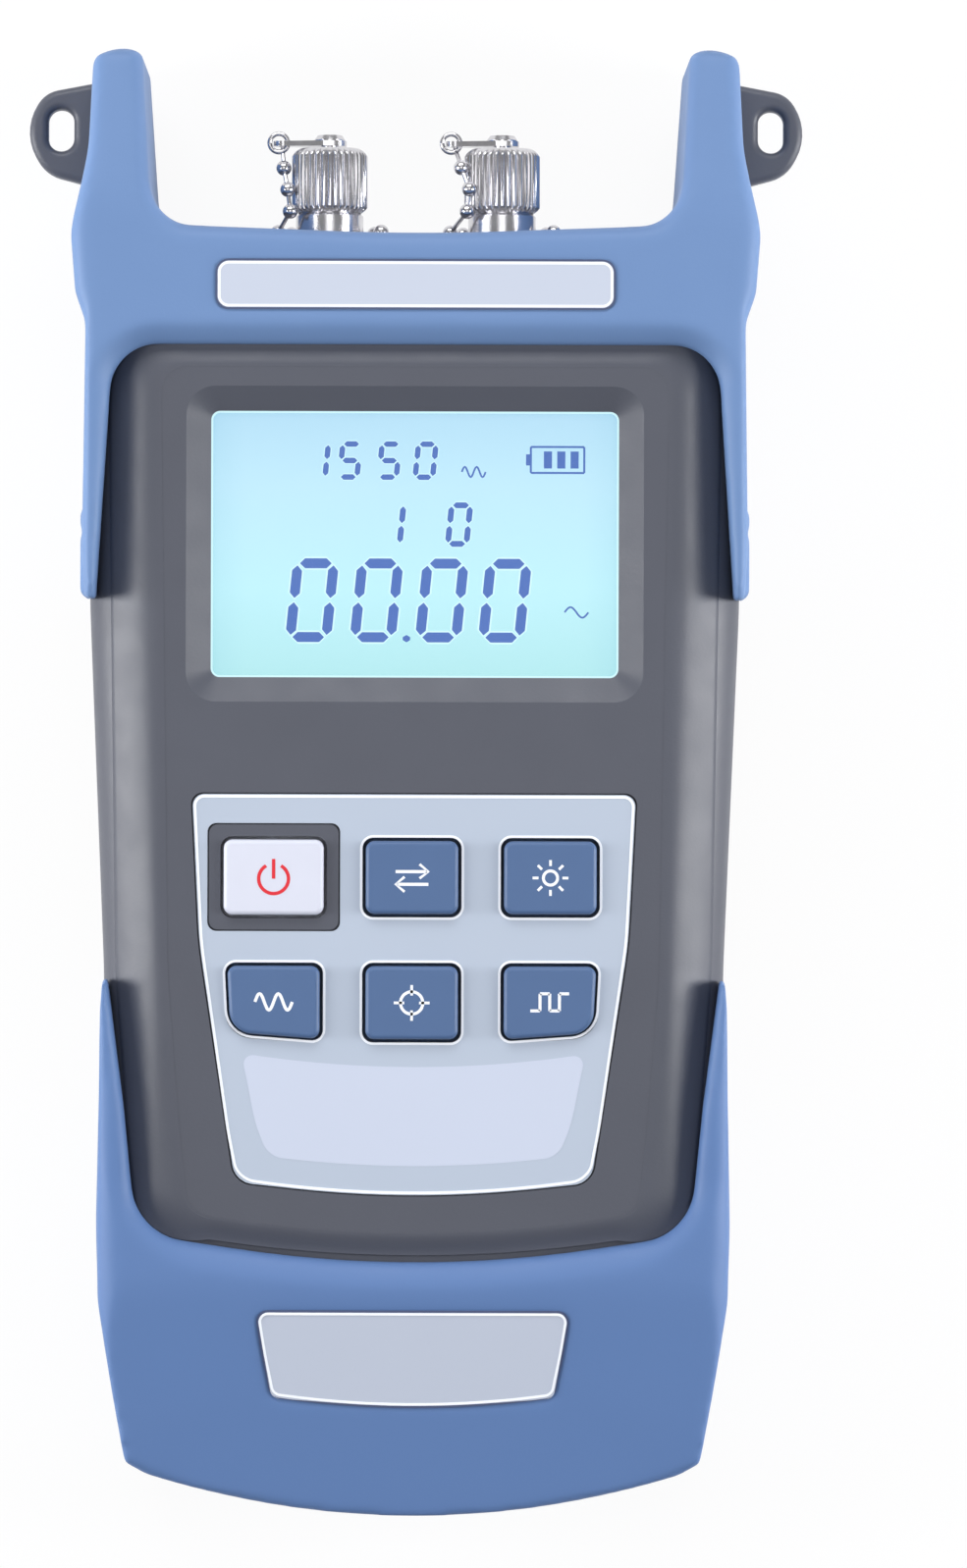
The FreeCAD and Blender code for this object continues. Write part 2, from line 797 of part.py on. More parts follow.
def add_post(body, side, grow):
    """Post that fills a horn, with a lanyard lug on its outer side."""
    low = S.case_top - S.wall - grow
    high = S.case_top + S.post_reach + grow
    post = [(side * (S.post_inner - grow), low, 0), (side * (S.post_outer + grow), low, 0),
            (side * (S.post_outer + grow), high, 1.5), (side * (S.post_inner - grow), high, 1.5)]
    slab(body, turn_left(post, side), S.post_back - grow, PARTING - S.post_back + grow * 2)
    root_x = S.post_outer - 0.5
    lug_y = S.case_top + S.lug_y
    reach = S.lug_reach + grow
    lug = [(side * root_x, lug_y - S.lug_radius - grow, 0),
           (side * (reach - 3.2), lug_y - S.lug_radius * 0.72 - grow, 5),
           (side * reach, lug_y, 7),
           (side * (reach - 3.2), lug_y + S.lug_radius * 0.62 + grow, 4),
           (side * root_x, lug_y + S.lug_radius * 0.82 + grow, 0)]
    low_z = PARTING - S.lug_thick - grow
    slab(body, turn_left(lug, side), low_z, S.lug_thick + grow * 2)


def turn_left(corners, side):
    """Corners in anticlockwise order on either side."""
    return corners if side > 0 else corners[::-1]


def cut_lug_slots(body):
    """Round-ended lanyard slots through the lugs."""
    lug_y = S.case_top + S.lug_y
    for _, side in SIDE:
        slot = box_corners(side * S.lug_slot_x, lug_y, S.lug_slot_width, S.lug_slot_long,
                           S.lug_slot_width * 0.49)
        feature = slab(body, slot, PARTING - S.lug_thick, S.lug_thick, cut=True)
    return feature


# Boot ------------------------------------------------------------------------------------

def half_plane(body, y, below):
    """Cut away all that lies below or above a line across the boot."""
    far = S.case_bottom * 3
    middle = y - far / 2 if below else y + far / 2
    slab(body, box_corners(0, middle, far, far), 0, BOOT_FRONT, cut=True)


def boot_block(name, front_round, **ends):
    """Outer form of one half of the boot."""
    body = new_body(name + "_blank")
    case_block(body, case_outline(S.boot_wall, **ends), as_size(0), BOOT_FRONT,
               front_round=front_round, back_round=S.boot_back_round)
    return body


def top_boot_outline():
    """Tongues, flanged sides, horns and the dipped valley between them, from the front."""
    top = S.case_top + S.horn_reach
    valley = S.case_top + S.boot_head
    side_x = S.shoulder_half + S.boot_wall
    flange_x = side_x + S.flange_step
    horn_x = side_x - S.horn_inset
    inner_x = horn_x - S.horn_width
    return both_sides([
        (side_x - S.tip_taper, S.tongue_y, 0),
        (side_x, S.tongue_y + S.tip_long, S.flange_blend),
        (side_x - S.shoulder_half + S.top_half, S.case_top - S.flange_low, S.flange_round),
        (flange_x, S.case_top - S.flange_wide_low, S.flange_round),
        (flange_x, S.case_top + S.flange_up, S.flange_blend),
        (horn_x + S.horn_spread, S.case_top + S.horn_spread_up, S.flange_blend),
        (horn_x, top, S.horn_outer_round), (inner_x, top, S.horn_inner_round),
        (inner_x - S.horn_lean, valley, S.horn_valley_round),
        (0, valley - S.valley_dip, S.valley_bow)])


def slope_horns(body):
    """Horn fronts and backs that fall away towards the tips, and the last cut made."""
    top = S.case_top + S.horn_reach + 1
    start = S.case_top + S.horn_slope_start
    run = S.horn_reach + 1 - S.horn_slope_start
    wide = (S.shoulder_half + S.boot_wall + S.flange_step) * 2 + 4
    front = [(start - run, BOOT_FRONT, 0), (start, BOOT_FRONT, S.horn_slope_round),
             (top, BOOT_FRONT - S.horn_front_drop, 0), (top, BOOT_FRONT + 1, 0),
             (start - run, BOOT_FRONT + 1, 0)]
    back = [(start - run, -1, 0), (top, -1, 0), (top, S.horn_back_drop, 0),
            (start, 0, S.horn_slope_round), (start - run, 0, 0)]
    for corners in (front, back):
        feature = slab(body, corners, -wide / 2, wide, cut=True, role="YZ_Plane")
    return feature


def lip_edges(feature, window_half, low, high, open_y):
    """Front edges of a window between two stations, without those along its open end."""
    return edges_where(feature, lambda box: box.ZMin > CASE_FRONT.value
                       and box.YMin > low.value - 0.1 and box.YMax < high.value + 0.1
                       and box.DiagonalLength > 0.1
                       and max(abs(box.XMin), abs(box.XMax)) < window_half.value + 0.1
                       and not box.YMax - box.YMin < 0.01 > abs(box.YMin - open_y.value))


def make_top_boot_blank():
    """Top half of the boot, solid: band, horns and window."""
    body = new_body("top_bumper_blank")
    slab(body, top_boot_outline(), as_size(0), BOOT_FRONT)
    feature = slope_horns(body)
    doc.recompute()
    tip = S.case_top + S.horn_reach
    for low, high in ((BOOT_FRONT - S.horn_front_drop, BOOT_FRONT), (as_size(0), S.horn_back_drop)):
        names = edges_where(feature, lambda box: box.ZMin > low.value - 0.01
                            and box.ZMax < high.value + 0.01
                            and not (box.YMax - box.YMin < 0.01
                                     and box.YMax < tip.value - 0.1
                                     and box.XMax - box.XMin > 0.1))
        feature = rounded(body, feature, names, S.boot_edge_round)
    open_half = S.shoulder_half - S.window_open_inset
    side = S.shoulder_half - S.top_window_inset
    window = both_sides([
        (open_half, S.tongue_y - 5, 0), (open_half, S.tongue_y, 40),
        (side, S.shoulder_y * 2, 60),
        (side - S.top_window_lean, S.top_window_y, S.top_window_round)])
    opening = slab(body, window, PARTING, BOOT_FRONT - PARTING, cut=True)
    doc.recompute()
    rounded(body, opening, lip_edges(opening, open_half, S.tongue_y, S.top_window_y,
                                     S.tongue_y), S.top_lip_round)
    lip = S.boot_back_lip
    back_window = both_sides([
        (S.top_half - lip, S.tongue_y - 5, 0), (S.top_half - lip, S.case_top - lip, 5)])
    slab(body, back_window, 0, CASE_BACK + 1, cut=True)
    side_x = S.shoulder_half + S.boot_wall
    for _, way in SIDE:
        for up, long in ((S.grip_up, S.grip_long), (S.grip_bar_up, S.grip_bar_long)):
            slab(body, box_corners(way * (side_x - S.grip_rise), S.tongue_y + up,
                                   S.grip_rise * 4, long, S.grip_rise),
                 S.grip_back, S.grip_front - S.grip_back)
    return body


def make_toe_boot_blank():
    """Bottom half of the boot, solid: it slopes back below the window."""
    body = boot_block("bottom_bumper", S.boot_front_round, toe=S.boot_toe,
                      foot_round=S.boot_foot_round)
    half_plane(body, S.toe_y, below=False)
    end = -S.case_bottom - S.boot_toe
    run = S.toe_slope_y - end
    slab_x = S.shoulder_half * 2 + 10
    slope = [(S.toe_slope_y, BOOT_FRONT, 25), (S.toe_slope_y + 12, BOOT_FRONT, 0),
             (S.toe_slope_y + 12, BOOT_FRONT + 3, 0), (end - 1, BOOT_FRONT + 3, 0),
             (end - 1, BOOT_FRONT - S.toe_drop * (run + 1) / run, 0)]
    slab(body, slope, -slab_x / 2, slab_x, cut=True, role="YZ_Plane")
    foot_x = S.foot_half - S.toe_window_foot_inset
    open_half = S.waist_half - S.toe_window_inset
    apex, foot_y = bowed(S.toe_window_bottom, S.toe_window_bow, S.toe_window_bow_half, foot_x)
    window = both_sides([
        (0, apex, S.toe_window_bow), (foot_x, foot_y, S.toe_window_round),
        (S.hip_half - S.toe_window_waist_inset, S.hip_y + 26, 60), (open_half, S.toe_y, 0),
        (open_half, S.toe_y + 5, 0)])
    opening = slab(body, window, PARTING, BOOT_FRONT - PARTING, cut=True)
    doc.recompute()
    rounded(body, opening, lip_edges(opening, open_half, S.toe_slope_y, S.toe_y, S.toe_y),
            S.toe_lip_round)
    lip = S.boot_back_lip
    back_window = both_sides([
        (S.foot_half - lip, -S.case_bottom + lip * 2, 6), (S.waist_half - lip, S.toe_y, 0),
        (S.waist_half - lip, S.toe_y + 5, 0)])
    slab(body, back_window, 0, CASE_BACK + 1, cut=True)
    return body


def make_boot_cavity():
    """The space that the case, its posts and the ports take inside the boot."""
    body = new_body("boot_cavity")
    fit = S.boot_fit
    case_block(body, case_outline(fit), CASE_BACK - fit, CASE_FRONT + fit,
               front_round=S.front_round + fit, back_round=S.back_round + fit)
    for _, side in SIDE:
        add_post(body, side, fit * 2)
    slab(body, box_corners(0, S.case_top, (S.panel_half - S.panel_lip) * 2, S.boot_head * 3),
         S.panel_back_z, S.panel_front_z - S.panel_back_z)
    return body


def toe_slope():
    """Angle of the sloping front below the window."""
    return slope_angle(S.toe_drop, S.toe_slope_y + S.case_bottom + S.boot_toe)


def top_label_outline(grow):
    """Upper label plate, about its own centre."""
    return box_corners(0, 0, S.top_label_width + grow * 2, S.top_label_height + grow * 2,
                       S.top_label_corner + grow)


def toe_label_outline(grow):
    """Lower label plate, a trapezium about its own centre."""
    high, foot_x = S.toe_label_height / 2 + grow, S.toe_label_foot_half + grow
    apex, foot_y = bowed(high, S.foot_bow, S.toe_label_foot_half / 2, foot_x)
    return both_sides([(0, apex, S.foot_bow), (foot_x, foot_y, 1.3 + grow),
                       (S.toe_label_top_half + grow, high, 1.3 + grow)])


def top_label_seat(thing, sink):
    """Seat on the boot's front band."""
    return placed(thing, 0, S.top_label_y, BOOT_FRONT - sink)


def toe_label_seat(thing, sink):
    """Seat on the boot's sloping front."""
    angle = toe_slope()
    down = S.toe_label_down + S.toe_label_height / 2
    share = S.toe_drop / (S.toe_slope_y + S.case_bottom + S.boot_toe)
    return placed(thing, 0, S.toe_slope_y - down + sink * share,
                  BOOT_FRONT - down * share - sink, FreeCAD.Vector(1, 0, 0), angle)


def make_label(name, corners, thickness, seat, sink):
    """A flat plate pressed into a shallow recess of the boot."""
    body = new_body(name)
    slab(body, corners, 0, thickness)
    return seat(body, sink)


def cut_with(name, base, tools):
    """The base solid less every tool, as a sub-part."""
    for number, tool in enumerate(tools, start=1):
        cut = doc.addObject("Part::Cut", f"{name}_cut_{number}")
        cut.Base = base
        cut.Tool = tool
        base = cut
    base.Label = name
    return base


# Display stack ---------------------------------------------------------------------------

LENS_LOW = CEILING - S.lens_base - 0.05
GLASS_LOW = LENS_LOW - S.glass_thick


def display_plate(name, width_extra, height_extra, bottom, thickness, radius=0.5):
    """A flat piece of the display stack."""
    body = new_body(name)
    slab(body, box_corners(0, S.lcd_y, S.lcd_width + width_extra, S.lcd_height + height_extra,
                           radius), bottom, thickness)
    return body


def make_lcd_window():
    """Clear window with a raised middle that stands in the opening of the housing."""
    lip = S.lens_lip * 2
    body = display_plate("lcd_window", lip, lip, LENS_LOW, S.lens_base)
    top = FACE - S.bevel_depth - S.lens_sink
    slab(body, box_corners(0, S.lcd_y, S.lcd_width - 0.2, S.lcd_height - 0.2, S.lcd_corner),
         LENS_LOW + S.lens_base, top - LENS_LOW - S.lens_base)
    return body


def make_lcd_frame():
    """Frame that holds glass and backlight to the board, open in front."""
    thick = S.frame_wall * 2
    lip = S.lens_lip * 2
    body = display_plate("lcd_frame", lip + thick, lip + thick, BOARD_FRONT,
                         LENS_LOW - BOARD_FRONT, 1)
    slab(body, box_corners(0, S.lcd_y, S.lcd_width + lip, S.lcd_height + lip), BOARD_FRONT,
         LENS_LOW - BOARD_FRONT, cut=True)
    return body


def make_lcd_backlight():
    """Light guide behind the glass, short at its lower end for the contact strip."""
    body = new_body("lcd_backlight")
    full = S.lcd_height + S.lens_lip * 2
    short = S.zebra_width + 1
    slab(body, box_corners(0, S.lcd_y + short / 2, S.lcd_width + S.lens_lip * 2 - 0.2,
                           full - short - 0.2), BOARD_FRONT, GLASS_LOW - BOARD_FRONT)
    return body


def make_zebra_strip():
    """Rubber contact strip between the glass and the board."""
    body = new_body("zebra_strip")
    y = S.lcd_y - S.lcd_height / 2 - S.lens_lip + S.zebra_width / 2 + 0.2
    slab(body, box_corners(0, y, S.lcd_width - 6, S.zebra_width), BOARD_FRONT,
         GLASS_LOW - BOARD_FRONT)
    return body


# Board, switches and fasteners -----------------------------------------------------------

def make_main_board():
    """Circuit board with holes for its four screws."""
    body = new_body("main_board")
    middle = (S.board_top_y + S.board_bottom_y) / 2
    slab(body, box_corners(0, middle, S.board_half * 2, S.board_top_y - S.board_bottom_y, 1.5),
         BOARD_BACK, S.board_thick)
    pegs(body, board_screw_places(), S.board_screw_radius + 0.1, BOARD_BACK, S.board_thick,
         cut=True)
    return body


def make_key_switches():
    """Six push switches, each a square body with a round plunger."""
    body = new_body("key_switches")
    keys = key_list()
    body_height = S.switch_body * 0.7
    for _, x, y, _, _, _ in keys:
        slab(body, box_corners(x, y, S.switch_size, S.switch_size), BOARD_FRONT, body_height)
    pegs(body, [(x, y) for _, x, y, _, _, _ in keys], S.plunger_radius,
         BOARD_FRONT + body_height, S.switch_body - body_height)
    return body


def make_board_screws():
    """Four small screws from the back of the board into the housing posts."""
    body = new_body("board_screws")
    places = board_screw_places()
    pegs(body, places, S.board_screw_head, BOARD_BACK - S.board_screw_head_thick,
         S.board_screw_head_thick)
    pegs(body, places, S.board_screw_radius - 0.05, BOARD_BACK, S.board_screw_long)
    return body


def cross_corners(x, y):
    """Corners of a cross-shaped drive recess about a screw's middle."""
    far, near = S.drive_long / 2, S.drive_wide / 2
    return [(x + near * a + far * b, y + near * c + far * d, 0) for a, b, c, d in (
        (1, 0, 0, -1), (1, 0, -1, 0), (0, 1, -1, 0), (0, 1, 1, 0), (1, 0, 1, 0), (1, 0, 0, 1),
        (-1, 0, 0, 1), (-1, 0, 1, 0), (0, -1, 1, 0), (0, -1, -1, 0), (-1, 0, -1, 0),
        (-1, 0, 0, -1))]


def make_case_screws():
    """Six screws from the back, each head in its counterbore."""
    body = new_body("case_screws")
    places = case_screw_places()
    pegs(body, places, S.screw_head, HEAD_LEVEL - S.screw_head_thick, S.screw_head_thick)
    pegs(body, places, S.screw_radius - 0.05, HEAD_LEVEL, S.screw_long)
    drive = new_sketch(body, "XY_Plane", HEAD_LEVEL - S.screw_head_thick)
    for x, y in places:
        outline(drive, cross_corners(x, y))
    extrude("Pocket", body, drive, S.drive_deep, True)
    return body


# Batteries -------------------------------------------------------------------------------

CELL_LEVEL = CASE_BACK + S.cover_thick + S.cell_radius + 0.4


def cell_place(column):
    """X of one of the three cells, counted from the left, and its end direction."""
    return S.cell_pitch * (column - 1), -1 if column == 1 else 1


def make_cell(column):
    """A round cell with its contact button, turned to lie along Y."""
    body = new_body(f"battery_{column + 1}")
    x, way = cell_place(column)
    inset = S.cell_radius - 0.6
    turned(body, [(0, 0), (inset, 0), (S.cell_radius, 0.6), (S.cell_radius, S.cell_long - 0.8),
                  (inset, S.cell_long), (S.cell_button, S.cell_long),
                  (S.cell_button, S.cell_long + S.cell_button_long),
                  (0, S.cell_long + S.cell_button_long)])
    start = S.bay_y - (S.cell_long + S.cell_button_long) / 2 * way
    return placed(body, x, start, CELL_LEVEL, FreeCAD.Vector(1, 0, 0), -90 * way)


def make_contacts(name, spring):
    """Bent strips at the bay's ends: springs at the flat ends, plates at the buttons."""
    body = new_body(name)
    half = BAY_LONG / 2
    reach = S.bay_end_gap - 0.2 if spring else S.bay_end_gap - 0.1
    width = S.cell_radius
    for column in range(3):
        x, way = cell_place(column)
        end = -way if spring else way
        wall_y = S.bay_y + half * end
        strip = S.contact_thick
        tip_y = wall_y - reach * end
        near, far = wall_y - strip * end, tip_y + strip * end
        low = CELL_LEVEL - S.cell_radius * 0.7
        high = CELL_LEVEL + S.cell_radius * 0.7
        profile = [(wall_y, low, 0), (wall_y, high, 0), (near, high, 0),
                   (tip_y, CELL_LEVEL + 1.5, 0), (tip_y, CELL_LEVEL - 1.5, 0),
                   (far, CELL_LEVEL - 1.2, 0), (far, CELL_LEVEL + 1.2, 0),
                   (near, high - strip * 2, 0), (near, low, 0)]
        slab(body, profile[::end], x - width / 2, width, role="YZ_Plane")
    return body


def make_battery_cover():
    """Door of the battery bay: a round hinge bead at its lower end, a sprung latch above."""
    body = new_body("battery_cover")
    half = BAY_HALF + S.cover_lip - S.cover_gap
    middle = (COVER_TOP + HINGE_Y) / 2
    slab(body, box_corners(0, middle, half * 2, COVER_TOP - HINGE_Y), CASE_BACK, S.cover_thick)
    pegs(body, [(HINGE_Y, CASE_BACK + S.cover_thick / 2)], S.cover_thick / 2, -half, half * 2,
         role="YZ_Plane")
    slit_y = COVER_TOP - S.latch_long / 2 + 0.5
    for _, side in SIDE:
        slab(body, box_corners(side * S.latch_half, slit_y, S.latch_slit, S.latch_long + 1),
             CASE_BACK, S.cover_thick, cut=True)
    for step in (1, 2, 3):
        slab(body, box_corners(0, COVER_TOP - S.thumb_groove * 2 * step,
                               S.latch_half * 2 - S.latch_slit * 4, S.thumb_groove),
             CASE_BACK, S.thumb_groove_depth, cut=True)
    return body


# Port end --------------------------------------------------------------------------------

PANEL_FRONT = S.case_top
PORT_BASE = S.case_top - S.panel_thick
PANEL_BACK = PORT_BASE - 0.05 - S.panel_lip / 2
ALONG_Y = FreeCAD.Vector(1, 0, 0)


def at_port(thing, side, y):
    """Turn a piece made along Z so that it points along +Y, on the axis of a port."""
    return placed(thing, side * S.port_pitch / 2, y, S.port_height, ALONG_Y, -90)


def make_port_panel():
    """Plate across the top end, with a lip behind the opening and two round holes."""
    body = new_body("port_panel")
    half, lip = S.panel_half, S.panel_lip
    low, high = S.panel_back_z, S.panel_front_z
    middle = (low + high) / 2
    slab(body, box_corners(0, middle, half * 2, high - low, 1), -PANEL_FRONT,
         PANEL_FRONT - PANEL_BACK, role="XZ_Plane")
    slab(body, box_corners(0, middle, (half + lip) * 2, high - low + lip, 1),
         -PORT_BASE + 0.05, PORT_BASE - 0.05 - PANEL_BACK, role="XZ_Plane")
    centres = [(side * S.port_pitch / 2, S.port_height) for _, side in SIDE]
    pegs(body, centres, S.port_neck_radius + 0.1, -PANEL_FRONT, S.panel_thick + S.panel_lip,
         cut=True, role="XZ_Plane")
    return body


NECK_LONG = PANEL_FRONT + S.port_shoulder - PANEL_BACK


def make_port_body(name, side):
    """Turned port: flange behind the panel, neck through it, thread and socket in front."""
    body = new_body(name)
    flange = S.port_flange_thick
    shoulder = NECK_LONG
    tip = shoulder + S.port_thread_long
    socket_floor = tip - S.port_socket_depth
    bore = S.ferrule_radius + S.sleeve_wall
    turned(body, [(bore, -flange), (S.port_flange_radius, -flange), (S.port_flange_radius, 0),
                  (S.port_neck_radius, 0), (S.port_neck_radius, shoulder - 0.3),
                  (S.port_neck_radius - 0.3, shoulder), (S.port_thread_radius, shoulder),
                  (S.port_thread_radius, tip - 0.4), (S.port_thread_radius - 0.4, tip),
                  (S.port_socket_radius, tip), (S.port_socket_radius, socket_floor),
                  (bore, socket_floor)])
    return at_port(body, side, PANEL_BACK)


def make_sleeve(name, side):
    """Split sleeve that holds the ferrule, standing in the port's bore."""
    body = new_body(name)
    inner, outer = S.ferrule_radius, S.ferrule_radius + S.sleeve_wall
    turned(body, [(inner, 0), (outer, 0), (outer, S.sleeve_long), (inner, S.sleeve_long)])
    start = PANEL_BACK + NECK_LONG + S.port_thread_long - 0.5 - S.sleeve_long
    return at_port(body, side, start)


def make_port_nut(name, side):
    """Thin hexagon nut against the panel."""
    body = new_body(name)
    sketch = new_sketch(body, "XY_Plane")
    corner = S.nut_flats / root(as_size(3))
    half = corner / 2
    flat = S.nut_flats / 2
    outline(sketch, [(corner, 0), (half, flat), (-half, flat), (-corner, 0), (-half, -flat),
                     (half, -flat)])
    circle(sketch, 0, 0, S.port_neck_radius + 0.05)
    pad(body, sketch, S.nut_thick)
    return at_port(body, side, PANEL_FRONT)


def make_module(name, side, radius, length):
    """Round metal can behind a port, with two leads."""
    body = new_body(name)
    turned(body, [(0, -length), (radius - 0.4, -length), (radius, 0.4 - length),
                  (radius, 0), (0, 0)])
    leads = new_sketch(body, "XY_Plane", -length - 3)
    for _, way in SIDE:
        circle(leads, way * radius / 2, 0, S.lead_radius)
    pad(body, leads, 3 + S.lead_radius)
    return at_port(body, side, PANEL_BACK - S.port_flange_thick)


CAP_START = PANEL_BACK + NECK_LONG + S.cap_gap
CAP_END = CAP_START + S.cap_long
LINK_START = CAP_END + 0.35


def make_cap(name, side):
    """Knurled screw cap: ridges all round, blind bore, and a rivet on its end."""
    body = new_body(name)
    end = S.cap_long
    rivet_long = LINK_START + S.link_thick - CAP_END + 0.3
    inner = S.port_thread_radius + S.cap_gap
    root_radius = S.cap_radius - S.ridge_depth
    turned(body, [(inner, 0), (root_radius - 0.3, 0), (root_radius, 0.3),
                  (root_radius, end - 0.6), (root_radius - 0.6, end), (S.rivet_radius, end),
                  (S.rivet_radius, end + rivet_long), (S.rivet_head, end + rivet_long),
                  (S.rivet_head * 0.7, end + rivet_long + S.rivet_head_thick),
                  (0, end + rivet_long + S.rivet_head_thick), (0, S.cap_bore_depth),
                  (inner, S.cap_bore_depth)])
    count = S.cap_ridges
    sketch = new_sketch(body, "XY_Plane", 0.4)
    turn = math.pi / count.value
    low_x, low_y = root_radius * math.cos(turn * 0.7), root_radius * math.sin(turn * 0.7)
    outline(sketch, [(low_x - 0.2, -low_y), (S.cap_radius, -0.35 * low_y),
                     (S.cap_radius, 0.35 * low_y), (low_x - 0.2, low_y)])
    ridge = pad(body, sketch, end - 1)
    pattern = body.newObject("PartDesign::PolarPattern", f"{name}_ridges")
    pattern.Originals = [ridge]
    pattern.Axis = (sketch, ["N_Axis"])
    pattern.Angle = 360
    bind(pattern, "Occurrences", count)
    body.Tip = pattern
    return at_port(body, side, CAP_START)


def make_cap_link(name, side):
    """Flat link that turns on the rivet, with an eyelet for the chain on its left."""
    body = new_body(name)
    sketch = new_sketch(body, "XY_Plane")
    reach, narrow = S.link_reach, S.eyelet_radius
    outline(sketch, [(-reach, -narrow), (-S.rivet_radius, -S.link_radius),
                     (S.link_radius, -S.link_radius, 1.8), (S.link_radius, S.link_radius, 1.8),
                     (-S.rivet_radius, S.link_radius), (-reach, narrow)])
    pad(body, sketch, S.link_thick)
    pegs(body, [(-reach, 0)], narrow * 1.2, 0, S.link_thick)
    pegs(body, [(0, 0)], S.rivet_radius + 0.1, 0, S.link_thick, cut=True)
    pegs(body, [(-reach, 0)], S.chain_wire + 0.25, 0, S.link_thick, cut=True)
    return at_port(body, side, LINK_START)


RING_Y = PANEL_FRONT + S.nut_thick + S.ring_wire / 2 + 0.1


def make_neck_ring(name, side):
    """Flat ring round the neck of the port, which anchors the chain."""
    body = new_body(name)
    sketch = circle(new_sketch(body, "XY_Plane"), 0, 0, S.port_neck_radius + 0.1)
    circle(sketch, 0, 0, S.port_neck_radius + 0.1 + S.ring_width)
    pad(body, sketch, S.ring_wire)
    return at_port(body, side, RING_Y - S.ring_wire / 2)


def chain_points(side):
    """Ball centres of one chain: down beside the cap, then once round the neck behind it."""
    x = side * S.port_pitch.value / 2
    z = S.port_height.value
    pitch = S.chain_pitch.value
    radius = S.wrap_radius.value
    wire = S.chain_wire.value
    top = LINK_START.value + S.link_thick.value / 2
    low = RING_Y.value + S.ball_radius.value
    places = []
    drop = top - pitch * 0.9
    while drop > low + pitch * 0.6:
        places.append(FreeCAD.Vector(x - S.link_reach.value, drop, z))
        drop -= pitch
    steps = int(math.pi * radius / pitch)
    for step in range(steps + 1):
        angle = math.pi + step * pitch / radius
        places.append(FreeCAD.Vector(x + radius * math.cos(angle), low,
                                     z + radius * math.sin(angle)))
    start = FreeCAD.Vector(x - S.link_reach.value, top, z)
    end_angle = math.pi + steps * pitch / radius
    neck = S.port_neck_radius.value + S.ring_width.value + wire + S.running_gap.value
    end = FreeCAD.Vector(x + neck * math.cos(end_angle), RING_Y.value,
                         z + neck * math.sin(end_angle))
    return start, places, end


def bead(place, along):
    """One ball of a chain, as an eight-sided outline turned about the chain's own line."""
    radius = S.ball_radius.value
    small = radius * math.tan(math.pi / 8)
    profile = [(0, -radius), (small, -radius), (radius, -small), (radius, small),
               (small, radius), (0, radius)]
    points = [FreeCAD.Vector(across, 0, height) for across, height in profile]
    face = Part.Face(Part.makePolygon(points + points[:1]))
    ball = face.revolve(FreeCAD.Vector(0, 0, 0), FreeCAD.Vector(0, 0, 1), 360)
    ball.Placement = FreeCAD.Placement(
        place, FreeCAD.Rotation(FreeCAD.Vector(0, 0, 1), along))
    return ball


def make_chain(name, side):
    """Bead chain: hollow balls on short wires, one solid, from the link to the neck ring."""
    start, places, end = chain_points(side)
    wire = S.chain_wire.value
    solid = None
    stops = [start] + places + [end]
    for here, there in zip(stops, stops[1:]):
        run = there - here
        rod = Part.makeCylinder(wire, run.Length, here, run)
        solid = rod if solid is None else solid.fuse(rod)
    for before, place, after in zip(stops, places, stops[2:]):
        solid = solid.fuse(bead(place, (after - before).normalize()))
    chain = doc.addObject("Part::Feature", name)
    chain.Label = name
    chain.Shape = solid
    return chain


# Assembly --------------------------------------------------------------------------------

